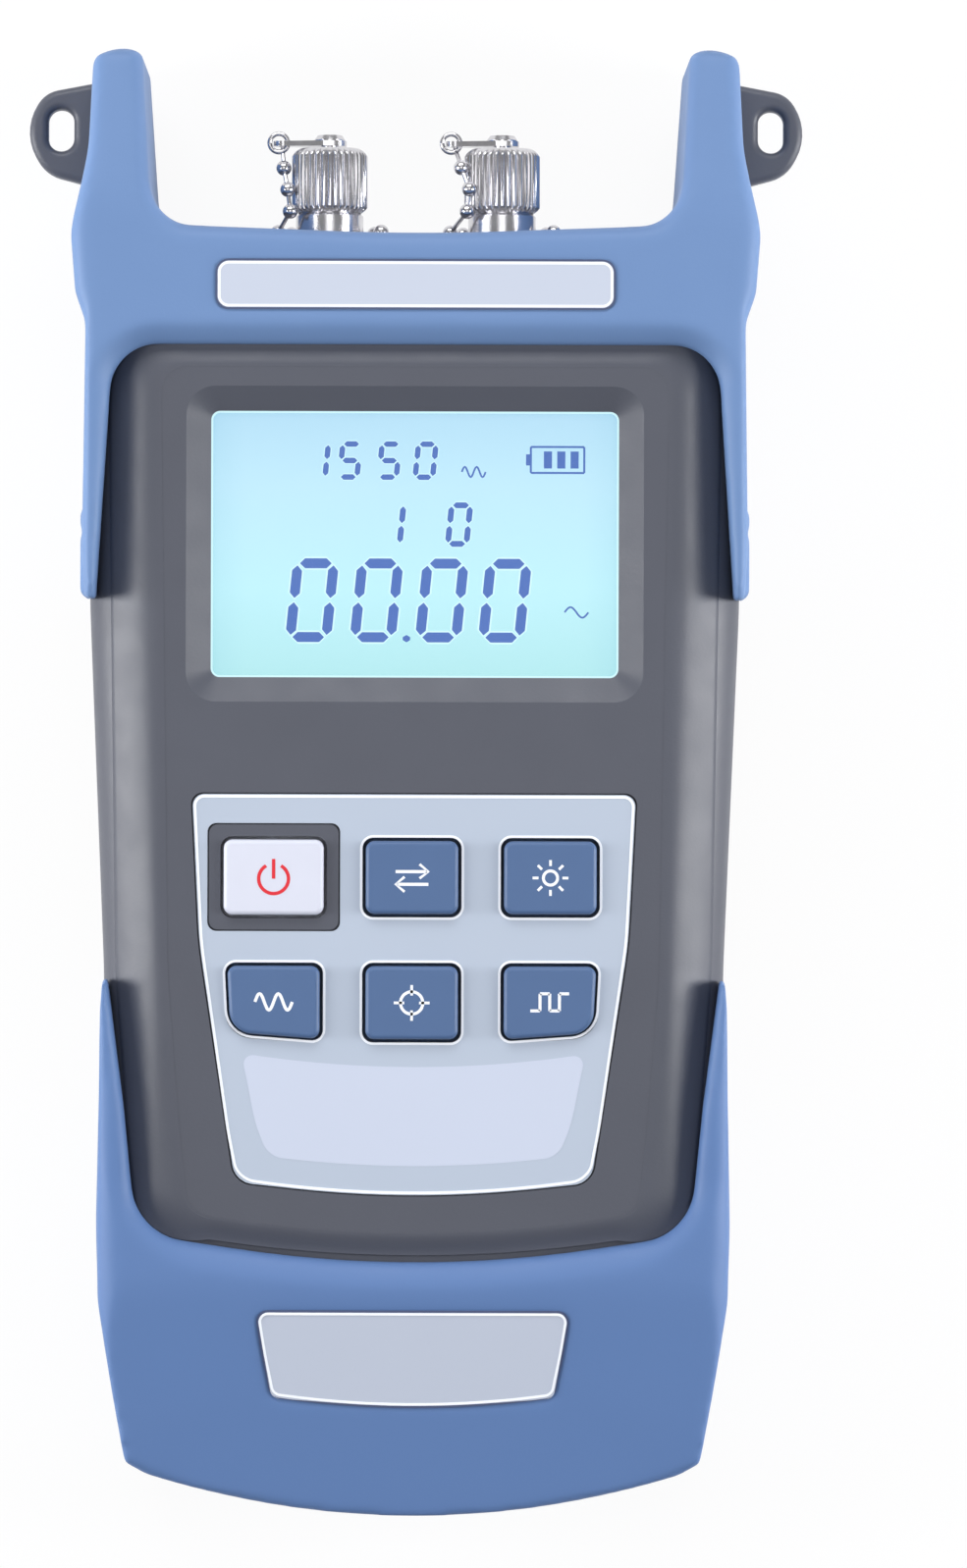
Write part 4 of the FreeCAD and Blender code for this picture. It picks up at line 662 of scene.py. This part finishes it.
FACE = BOOT_FRONT - 2.5
CASE_FRONT = FACE - 1.7
CASE_ROUND = 8.0
FACE_LOW, FACE_BOW = -61.3, 162
FACE_CORNERS = [(-30.6, FACE_LOW, 4), (30.6, FACE_LOW, 4), (33.4, -26, 90), (34.5, 55.8, 4),
                (-34.5, 55.8, 4), (-33.4, -26, 90)]
FACE_BLEND = 16
# The shoulder's run at the sides and at the ends, its rows, how far it covers the face and how
# thick it is.
SHOULDER_SIDE, SHOULDER_END, SHOULDER_ROWS = 7.2, 3.0, 15
SHOULDER_LAP, SHOULDER_LIFT, SHOULDER_THICK = 0.4, 0.03, 0.35
# How much of the step it falls at the ends and more at the sides, where it stops in its smooth
# step, and how near it comes to the case's steep side.
FALL_END, FALL_SIDE, FALL_STOP, STEEP_GAP = 0.55, 0.4, 0.94, 0.2


def make_face_blend():
    """Soft shoulder round the raised face: a smooth step in height, long at the sides and short
    at the ends, on top of the case's own rounded edge."""
    start = bow(even(rounded(FACE_CORNERS, SHOULDER_LAP)), FACE_LOW, FACE_BOW,
                FACE_BLEND)
    ahead = np.roll(start, -1, 0) - np.roll(start, 1, 0)
    ahead /= np.linalg.norm(ahead, axis=1)[:, None]
    out = np.stack([ahead[:, 1], -ahead[:, 0]], 1)
    run = np.hypot(out[:, 0] * SHOULDER_SIDE, out[:, 1] * SHOULDER_END)
    rows = []
    for share in np.linspace(0, 1, SHOULDER_ROWS):
        spot = start + out * (run * share)[:, None]
        half = np.interp(spot[:, 1], CASE_Y, CASE_HALF)
        edge = np.clip(np.abs(spot[:, 0]) - half + CASE_ROUND, 0, CASE_ROUND - STEEP_GAP)
        case = CASE_FRONT - CASE_ROUND + np.sqrt(CASE_ROUND ** 2 - edge ** 2)
        depth = FALL_END + FALL_SIDE * out[:, 0] ** 2
        fall = ease(0, 1, share * FALL_STOP) * depth
        rise = (FACE - CASE_FRONT + SHOULDER_LIFT) * (1 - fall)
        rows.append(np.c_[spot, case + rise])
    under = [row - (0, 0, SHOULDER_THICK) for row in reversed(rows)]
    piece("face_blend", [np.stack(rows + under + rows[:1])], SLOT_FINISHES["grey_housing"],
          "casing", sharp=60)


# ---------------------------------------------------------------- display

SEGMENT_ENDS = {"a": ((0, 1), (1, 1)), "b": ((1, 1), (1, 0.5)), "c": ((1, 0.5), (1, 0)),
                "d": ((0, 0), (1, 0)), "e": ((0, 0.5), (0, 0)), "f": ((0, 1), (0, 0.5)),
                "g": ((0, 0.5), (1, 0.5))}
LIT = {"0": "abcdef", "1": "bc", "5": "acdfg"}
LEAN = 0.1
SEGMENT_GAP = 0.22
# How far ink stands off what it is printed on, and how thick it is.
INK_LIFT, INK_THICK = 0.005, 0.02


def digit(which, x, y, wide, high, stroke, level, thick, grow=0.0):
    """One seven-segment figure from its lower left corner, leaning to the right."""
    grids = []
    inset = stroke / 2
    for letter in LIT[which]:
        first, last = (inset + np.array(end) * (wide - stroke, high - stroke)
                       for end in SEGMENT_ENDS[letter])
        along = (last - first) / np.linalg.norm(last - first)
        gap = stroke * SEGMENT_GAP - grow
        path, width = blade(first + along * gap, last - along * gap, stroke + grow * 2)
        path[:, 0] += path[:, 1] * LEAN
        grids.append(ribbon(path + [x, y], width, level, thick))
    return grids


def make_display_marks():
    """Figures, cell gauge and small marks of the display, as thin films on its glass."""
    top = box_of("lcd_panel")[1][2]
    edge_level, ink_level = top + INK_LIFT, top + INK_LIFT * 2 + INK_THICK
    inks, edges = [], []

    def figures(text, lefts, y, wide, high, stroke, border):
        for which, left in zip(text, lefts):
            inks.extend(digit(which, left, y, wide, high, stroke, ink_level, INK_THICK))
            edges.extend(digit(which, left, y, wide, high, stroke, edge_level, INK_THICK,
                               border))

    def line(path, width):
        inks.append(ribbon(path, width, ink_level, INK_THICK))

    figures("0000", (-17.5, -8.8, 0.0, 8.5), 18.5, 6.2, 11.3, 1.35, 0.22)
    figures("1550", (-14.9, -10.6, -5.3, -0.4), 40.4, 3.1, 5.2, 0.75, 0.12)
    figures("10", (-5.0, 4.0), 31.4, 3.3, 6.0, 0.8, 0.14)
    point, _ = blade((-1.6, 19.0), (-0.6, 19.0), 1.0)
    line(point, (0.4, 1.0, 1.0, 0.4))
    gauge = [(15.6, 44.9), (22.8, 44.9), (22.8, 41.4), (15.6, 41.4)]
    for start, end in zip(gauge, gauge[1:] + gauge[:1]):
        line([start, end], 0.28)
    line([(14.95, 43.15), (15.5, 43.15)], 1.5)
    for x in (17.9, 19.7, 21.5):
        line([(x, 42.0), (x, 44.3)], 1.1)
    share = np.linspace(0, 1, 25)
    for x, y, waves in ((6.3, 41.5, 2), (20.2, 22.6, 1)):
        line(np.c_[x + 3.2 * share, y + 0.7 * np.sin(share * waves * 2 * math.pi)], 0.25)
    piece("display_marks", inks, LCD_INK, "casing")
    piece("display_edges", edges, LCD_EDGE_AND_HIGHLIGHT, "casing")


# ---------------------------------------------------------------- keys, plate and labels

PLATE_LOW, FIELD_LOW, PLATE_BOW = -55.8, -51.9, 150
PLATE_CORNERS = [(-23.9, PLATE_LOW, 3), (23.9, PLATE_LOW, 3), (28.8, -22, 40),
                 (29.8, -2.0, 1.6), (-29.8, -2.0, 1.6), (-28.8, -22, 40)]
FIELD_CORNERS = [(-19.6, FIELD_LOW, 2.6), (19.6, FIELD_LOW, 2.6), (23.2, -38.6, 1.4),
                 (-23.2, -38.6, 1.4)]
# Painted highlight rims lie between the last two insets of each set, painted shadow lines between
# the first two.
PLATE_INSETS = (0.12, 0.5)
LABEL_INSETS = (-0.28, 0.05, 0.4)
KEY_INSETS = (-0.78, -0.45)
SCREEN_INSETS = (-0.3, 0.0, 0.25)
TOP_LABEL_ROUND, TOE_LABEL_ROUND = 1.5, 1.3
TOE_LABEL_LOW, TOE_LABEL_HIGH = 18.9, 20.9
TOE_SLOPE = 4.6 / 32
LINE_DROP, LINE_THICK = 0.12, 0.1
PLATE_BLEND, LABEL_BLEND = 10, 8
FIELD_TOP_START, FIELD_TOP_WHOLE = -46, -40
# How thick the painted highlight rims are, how deep the top label's and the screen's painted
# highlights lie in, and how far the screen's painted shadow stands up.
PLATE_RIM, KEY_RIM, TOP_RIM, TOE_RIM, SCREEN_RIM = 0.06, 0.05, 0.06, 0.07, 0.05
TOP_SINK, HIGHLIGHT_SINK, SHADOW_LIFT = 0.05, 0.02, 0.02
KEY_FLANGE = 1.3
KEY_ROUND = 1.0
SLANT_SIDE, SLANT_FOOT, SLANT_ROUND = 0.45, 0.9, 3.2
SCREEN_HALF, SCREEN_TALL, SCREEN_MIDDLE, SCREEN_ROUND = 27.4, 17.9, 31.6, 1.2


def legend(name, key, finish, strokes):
    """A key's pictogram: strokes of (path, width) about the key's middle, on its top."""
    low, high = box_of(key)
    middle, level = ((low + high) / 2)[:2], high[2] + INK_LIFT
    grids = [ribbon(np.asarray(path, float) + middle, width, level, INK_THICK)
             for path, width in strokes]
    piece(name, grids, finish, key)


def make_legends():
    """Power sign, arrows, lamp, wave, target and pulse, one for each key."""
    legend("power_sign", "power_key", INK_RED,
           [(arc(0, -0.2, 2.0, 120, 420), 0.46), ([(0, 2.45), (0, -0.2)], 0.46)])
    legend("swap_sign", "upper_middle_key", INK_WHITE,
           [([(-2.2, 0.8), (2.0, 0.8)], 0.42), ([(1.0, 1.8), (2.2, 0.8), (1.0, -0.1)], 0.36),
            ([(2.2, -0.9), (-2.0, -0.9)], 0.42),
            ([(-1.0, 0.1), (-2.2, -0.9), (-1.0, -1.9)], 0.36)])
    aims = [np.array([math.cos(turn), math.sin(turn)])
            for turn in np.radians(np.arange(0, 360, 45))]
    rays = [([aim * 1.6, aim * 2.4], 0.36) for aim in aims]
    legend("lamp_sign", "upper_right_key", INK_WHITE, [(arc(0, 0, 0.95, 0, 360), 0.4)] + rays)
    wave = np.linspace(-1, 1, 41)
    legend("wave_sign", "lower_left_key", INK_WHITE,
           [(np.c_[2.5 * wave, 1.1 * np.sin(wave * 2 * math.pi)], 0.42)])
    legend("zero_sign", "lower_middle_key", INK_WHITE,
           [(arc(0, 0, 1.5, 0, 360), 0.4), ([(-2.4, 0), (-1.0, 0)], 0.36),
            ([(1.0, 0), (2.4, 0)], 0.36), ([(0, -2.4), (0, -1.0)], 0.36),
            ([(0, 1.0), (0, 2.4)], 0.36)])
    steps = [(-2.6, -1.1), (-1.3, -1.1), (-1.3, 1.2), (0.0, 1.2), (0.0, -1.1), (1.3, -1.1),
             (1.3, 1.2), (2.6, 1.2)]
    legend("pulse_sign", "lower_right_key", INK_WHITE,
           [([start, end], 0.4) for start, end in zip(steps, steps[1:])])


def oblong(half, low, high, radius):
    """Corners of an oblong about the middle line, for rounded()."""
    return [(-half, low, radius), (half, low, radius), (half, high, radius),
            (-half, high, radius)]


def make_plate_trim():
    """Painted highlight along the keypad plate's bevelled edge, and the lighter printed field
    below its keys.
    """
    top = box_of("keypad_plate")[1][2]
    outer, inner = (bow(even(rounded(PLATE_CORNERS, inset)), PLATE_LOW, PLATE_BOW, PLATE_BLEND)
                    for inset in PLATE_INSETS)
    piece("plate_rim", [rim(outer, inner, top, PLATE_RIM)], EDGE_HIGHLIGHT, "casing")
    field = bow(even(rounded(FIELD_CORNERS)), FIELD_LOW, PLATE_BOW)
    upper = ease(FIELD_TOP_START, FIELD_TOP_WHOLE, field[:, 1])
    field[:, 1] += field[:, 0] ** 2 / (2 * PLATE_BOW) * upper
    piece("plate_field", [film(field, top + INK_LIFT, INK_THICK)], FIELD_INK, "casing")


def make_label_trim():
    """Painted highlight: a bright ring for light on each label plate's raised edge; painted
    shadow: a dark line in its groove outside.
    """
    low, high = box_of("top_label_plate")
    corners = oblong(high[0], low[1], high[1], TOP_LABEL_ROUND)
    line, outer, inner = (even(rounded(corners, inset)) for inset in LABEL_INSETS)
    piece("top_label_rim", [rim(outer, inner, high[2] - TOP_SINK, TOP_RIM)], EDGE_HIGHLIGHT,
          "casing")
    piece("top_label_line", [rim(line, outer, high[2] - LINE_DROP, LINE_THICK)], GROOVE_SHADOW,
          "casing")
    low, high = box_of("bottom_label_plate")
    corners = [(-TOE_LABEL_LOW, low[1], TOE_LABEL_ROUND), (TOE_LABEL_LOW, low[1], TOE_LABEL_ROUND),
               (TOE_LABEL_HIGH, high[1], TOE_LABEL_ROUND),
               (-TOE_LABEL_HIGH, high[1], TOE_LABEL_ROUND)]
    line, outer, inner = (bow(even(rounded(corners, inset)), low[1], FOOT_BOW,
                               LABEL_BLEND)
                          for inset in LABEL_INSETS)
    levels = high[2] - (high[1] - outer[:, 1]) * TOE_SLOPE
    piece("toe_label_rim", [rim(outer, inner, levels, TOE_RIM)], EDGE_HIGHLIGHT, "casing")
    piece("toe_label_line", [rim(line, outer, levels - LINE_DROP, LINE_THICK)], GROOVE_SHADOW,
          "casing")


def make_key_rims():
    """Painted highlight: a bright ring for light on the rolled edge round the hole of each blue
    key.
    """
    top = box_of("keypad_plate")[1][2]
    grids = []
    for key, slant in (("upper_middle_key", 0), ("upper_right_key", 0), ("lower_left_key", -1),
                       ("lower_middle_key", 0), ("lower_right_key", 1)):
        low, high = box_of(key)
        (x, y), (across, along) = (low + high)[:2] / 2, (high - low)[:2] / 2 - KEY_FLANGE
        corners = oblong(across, -along, along, KEY_ROUND)
        if slant:
            corners[0] = (-across + SLANT_SIDE, -along + SLANT_FOOT, SLANT_ROUND)
        if slant > 0:
            corners = [(-px, py, r) for px, py, r in reversed(corners)]
        corners = [(x + px, y + py, r) for px, py, r in corners]
        outer, inner = (even(rounded(corners, inset)) for inset in KEY_INSETS)
        grids.append(rim(outer, inner, top, KEY_RIM))
    piece("key_hole_rims", grids, EDGE_HIGHLIGHT, "casing")


def make_screen_trim():
    """Painted highlight: a thin pale glowing ring just inside the display's edge; painted shadow:
    a dark ring just outside it.
    """
    top = box_of("lcd_window")[1][2]
    corners = oblong(SCREEN_HALF, SCREEN_MIDDLE - SCREEN_TALL, SCREEN_MIDDLE + SCREEN_TALL,
                     SCREEN_ROUND)
    line, outer, inner = (even(rounded(corners, inset)) for inset in SCREEN_INSETS)
    piece("screen_highlight", [rim(outer, inner, top - HIGHLIGHT_SINK, SCREEN_RIM)], LCD_EDGE_AND_HIGHLIGHT, "casing")
    # Painted shadow: a dark ring just outside the window's edge, all round.
    piece("screen_shadow", [rim(line, outer, top + SHADOW_LIFT, SCREEN_RIM)],
          SLOT_FINISHES["black_plastic"], "casing")


# ---------------------------------------------------------------- ports

PORTS = {"left": -11.75, "right": 11.75}
PORT_LEVEL = 20.5
# The chain hangs CHAIN_REACH from the port's axis, seen along it at these turns in degrees, and
# lies round the neck from WRAP_START on, a ball each WRAP_STEP.
CHAIN_REACH = 6.45
CHAIN_TURNS = {"left": (180, 166, 152, 146), "right": (180, 150, 134, 138)}
WRAP_START, WRAP_END, WRAP_STEP = 186, 372, 36
CHAIN_TOP_GAP, CHAIN_FOOT_GAP = 0.4, 2.6
BALL, WIRE = 1.05, 0.3
HOOP, HOOP_WIRE, HOOP_OUT, HOOP_UP, HOOP_LIFT = 1.25, 0.34, 0.5, 0.1, 0.6
RIDGES, RIDGE_DEEP, RIDGE_STEPS = 36, 0.5, 10
CAP_LENGTH, CAP_BORE, BORE_DEEP, RIVET = 8.75, 4.3, 6.8, 1.2


def ball(place, radius, rows=13, columns=18):
    """A sphere's grid: rings of radius r sin v at height r cos v."""
    v, u = np.meshgrid(np.linspace(0, math.pi, rows),
                       np.linspace(0, 2 * math.pi, columns, endpoint=False), indexing="ij")
    return np.stack([place[0] + radius * np.sin(v) * np.cos(u),
                     place[1] + radius * np.sin(v) * np.sin(u),
                     place[2] + radius * np.cos(v)], -1)


def rod(first, last, radius, columns=10):
    """A round wire between two points, closed at both ends."""
    first, last = np.asarray(first, float), np.asarray(last, float)
    along = (last - first) / np.linalg.norm(last - first)
    side = np.cross(along, (0, 0, 1) if abs(along[2]) < 0.9 else (1, 0, 0))
    side /= np.linalg.norm(side)
    up = np.cross(along, side)
    u = np.linspace(0, 2 * math.pi, columns, endpoint=False)[:, None]
    ring = (side * np.cos(u) + up * np.sin(u)) * radius
    return np.stack([np.repeat(first[None], columns, 0), first + ring, last + ring,
                     np.repeat(last[None], columns, 0)])


def hoop(place, radius, wire, rows=13, columns=28):
    """A wire ring that lies level: a small circle carried round a large one."""
    v, u = np.meshgrid(np.linspace(0, 2 * math.pi, rows),
                       np.linspace(0, 2 * math.pi, columns, endpoint=False), indexing="ij")
    reach = radius + wire * np.cos(v)
    return np.stack([place[0] + reach * np.cos(u), place[1] + reach * np.sin(u),
                     place[2] + wire * np.sin(v)], -1)


def make_chain(side):
    """Bead chain: balls on short wires from the cap's link down beside the cap, then once round
    the port's neck."""
    low, high = box_of(f"{side}_chain")
    x = PORTS[side]
    top, foot = high[1], low[1] + BALL
    turns = np.radians(CHAIN_TURNS[side])
    heights = np.linspace(top - CHAIN_TOP_GAP, foot + CHAIN_FOOT_GAP, len(turns))
    stops = [(x + CHAIN_REACH * math.cos(turn), y, PORT_LEVEL + CHAIN_REACH * math.sin(turn))
             for turn, y in zip(turns, heights)]
    wrap = (high[0] - x) - BALL
    for turn in np.radians(np.arange(WRAP_START, WRAP_END, WRAP_STEP)):
        stops.append((x + wrap * math.cos(turn), foot, PORT_LEVEL + wrap * math.sin(turn)))
    grids = [ball(stop, BALL) for stop in stops[1:]]
    wires = [rod(here, there, WIRE) for here, there in zip(stops, stops[1:])]
    eye = (x - CHAIN_REACH - HOOP_OUT, top + HOOP_UP, PORT_LEVEL + HOOP_LIFT)
    wires.append(hoop(eye, HOOP, HOOP_WIRE))
    made = piece(f"{side}_bead_chain", grids + wires, CHROME, None,
                 replaced=(f"{side}_chain",))
    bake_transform(made)


def make_cap(side):
    """Dust cap turned about its own axis: radius R - d(1 - |cos 18u|) along its knurled length,
    plain at its chamfered ends, with a domed rivet on top and the blind threaded bore below. Its
    profile is given as radius, place along the axis and share of the knurl."""
    low, high = box_of(f"{side}_dust_cap")
    x, start, top = PORTS[side], low[1], high[1]
    end, wide, blind = start + CAP_LENGTH, high[0] - x, start + BORE_DEEP
    seat = box_of(f"{side}_cap_link")[1][1]
    profile = [(CAP_BORE, start, 0), (wide - 0.75, start, 0), (wide - 0.3, start + 0.4, 0.25),
               (wide, start + 0.75, 1), (wide, end - 1.0, 1), (wide - 0.25, end - 0.6, 0.3),
               (wide - 0.6, end - 0.25, 0), (wide - 1.0, end, 0), (2.2, end, 0),
               (RIVET, end, 0), (RIVET, seat, 0), (2.1, seat, 0), (2.1, seat + 0.2, 0),
               (1.7, top - 0.1, 0), (0.8, top, 0), (0.0, top, 0), (0.0, blind, 0),
               (CAP_BORE, blind, 0), (CAP_BORE, start, 0)]
    radius, along, share = (np.array(column)[:, None] for column in zip(*profile))
    turn = np.linspace(0, 2 * math.pi, RIDGES * RIDGE_STEPS, endpoint=False)[None]
    reach = radius - share * RIDGE_DEEP * (1 - np.abs(np.cos(turn * RIDGES / 2)))
    grid = np.stack([x + reach * np.cos(turn), along + 0 * turn,
                     PORT_LEVEL + reach * np.sin(turn)], -1)
    piece(f"{side}_knurled_cap", [grid], CHROME, f"{side}_cap",
          replaced=(f"{side}_dust_cap",), sharp=28)


# ---------------------------------------------------------------- stage

# Metres and watts. Each lamp: place, aim, width, height, power.
FLOOR_GLOW = 0.92
WORLD_GLOW = 0.3
LAMPS = {
    "top_box": ((-0.1, 0.85, 0.6), (0, 0.02, 0), 0.9, 0.4, 5.6),
    "left_strip": ((-0.6, 0.0, 0.12), (0, 0, 0.02), 0.2, 0.9, 6.4),
    "right_strip": ((0.6, 0.0, 0.12), (0, 0, 0.02), 0.2, 0.9, 6.4),
    "overhead": ((0, 0.15, 1.6), (0, 0, 0), 0.6, 0.6, 1.9),
}
FLOOR_HALF, FLOOR_LEVEL = 3.0, -0.0002
# The view's height at the meter, how far and how high it is taken, and its small offsets.
VIEW_HIGH, VIEW_FAR, VIEW_LEVEL, VIEW_Y = 0.214132, 1.07, 0.02, -0.0006
VIEW_SHIFT, VIEW_ROLL = 0.0442, math.radians(0.17)
SENSOR = 36.0
# The cards, in millimetres: how far out and up, half their width, slope and length.
CARD_PLACE, CARD_OUT, CARD_DOWN, CARD_LONG = 560, 35, 28, 500


def make_stage():
    """Pale floor that shows white to the eye and keeps a faint shadow."""
    half, level = FLOOR_HALF, FLOOR_LEVEL
    mesh = bpy.data.meshes.new("floor")
    mesh.from_pydata([(-half, -half, level), (half, -half, level), (half, half, level),
                      (-half, half, level)], [], [(0, 1, 2, 3)])
    floor = bpy.data.objects.new("floor", mesh)
    bpy.context.scene.collection.objects.link(floor)
    finish = Finish("floor_white", tone(245, 245, 247), roughness=0.9)
    finish.speckle(0.01, 0.2)
    tree = finish.tree
    glow = tree.nodes.new("ShaderNodeEmission")
    glow.inputs["Color"].default_value = (1, 1, 1, 1)
    rays = tree.nodes.new("ShaderNodeLightPath")
    seen, mirrored, through = (Value(finish, rays.outputs[f"Is {kind} Ray"])
                               for kind in ("Camera", "Glossy", "Transmission"))
    share = (seen + mirrored + through) * FLOOR_GLOW
    blend = tree.nodes.new("ShaderNodeMixShader")
    tree.links.new(share.socket, blend.inputs[0])
    tree.links.new(finish.shader.outputs[0], blend.inputs[1])
    tree.links.new(glow.outputs[0], blend.inputs[2])
    tree.links.new(blend.outputs[0], tree.nodes["Material Output"].inputs["Surface"])
    mesh.materials.append(finish.material)


def make_dark_cards():
    """Two narrow black cards above the side strips, which give metal its dark streaks."""
    finish = make_plain("card_black", tone(16, 16, 18), 0.8, size=0.01)
    for side in (-1, 1):
        u, v = np.meshgrid((-1, 1), (-1, 1), indexing="ij")
        grid = np.stack([side * (CARD_PLACE + CARD_OUT * u), CARD_LONG * v,
                         CARD_PLACE - CARD_DOWN * u], -1)
        flat = piece(f"card_{'left' if side < 0 else 'right'}", [grid], finish, None,
                     around=False)
        flat.visible_camera = False


def lamp(name, place, aim, wide, high, power):
    """A soft box at place, turned towards aim."""
    light = bpy.data.lights.new(name, "AREA")
    light.shape = "RECTANGLE"
    light.size = wide
    light.size_y = high
    light.energy = power
    made = bpy.data.objects.new(name, light)
    made.location = place
    made.rotation_euler = (Vector(aim) - Vector(place)).to_track_quat("-Z", "Y").to_euler()
    bpy.context.scene.collection.objects.link(made)


def make_lights():
    """Even studio light, strongest from beyond the port end, with a low strip at each side."""
    world = bpy.data.worlds.new("studio")
    world.use_nodes = True
    world.node_tree.nodes["Background"].inputs["Color"].default_value = (1, 1, 1, 1)
    world.node_tree.nodes["Background"].inputs["Strength"].default_value = WORLD_GLOW
    bpy.context.scene.world = world
    for name, sizes in LAMPS.items():
        lamp(name, *sizes)


def make_camera():
    """A long lens square above the meter, its view shifted a little to the meter's right."""
    camera = bpy.data.cameras.new("camera")
    camera.sensor_width = SENSOR
    camera.lens = SENSOR * VIEW_FAR / VIEW_HIGH
    camera.shift_x = VIEW_SHIFT
    made = bpy.data.objects.new("camera", camera)
    made.location = (0, VIEW_Y, VIEW_LEVEL + VIEW_FAR)
    made.rotation_euler = (0, 0, VIEW_ROLL)
    bpy.context.scene.collection.objects.link(made)
    bpy.context.scene.camera = made


# ---------------------------------------------------------------- scene

dress_nodes()
make_stage()
make_lights()
make_camera()
make_boots()
make_face_blend()
make_display_marks()
make_legends()
make_plate_trim()
make_key_rims()
make_label_trim()
make_screen_trim()
for port in PORTS:
    make_chain(port)
    make_cap(port)
make_dark_cards()
bpy.context.scene.view_settings.view_transform = "Standard"
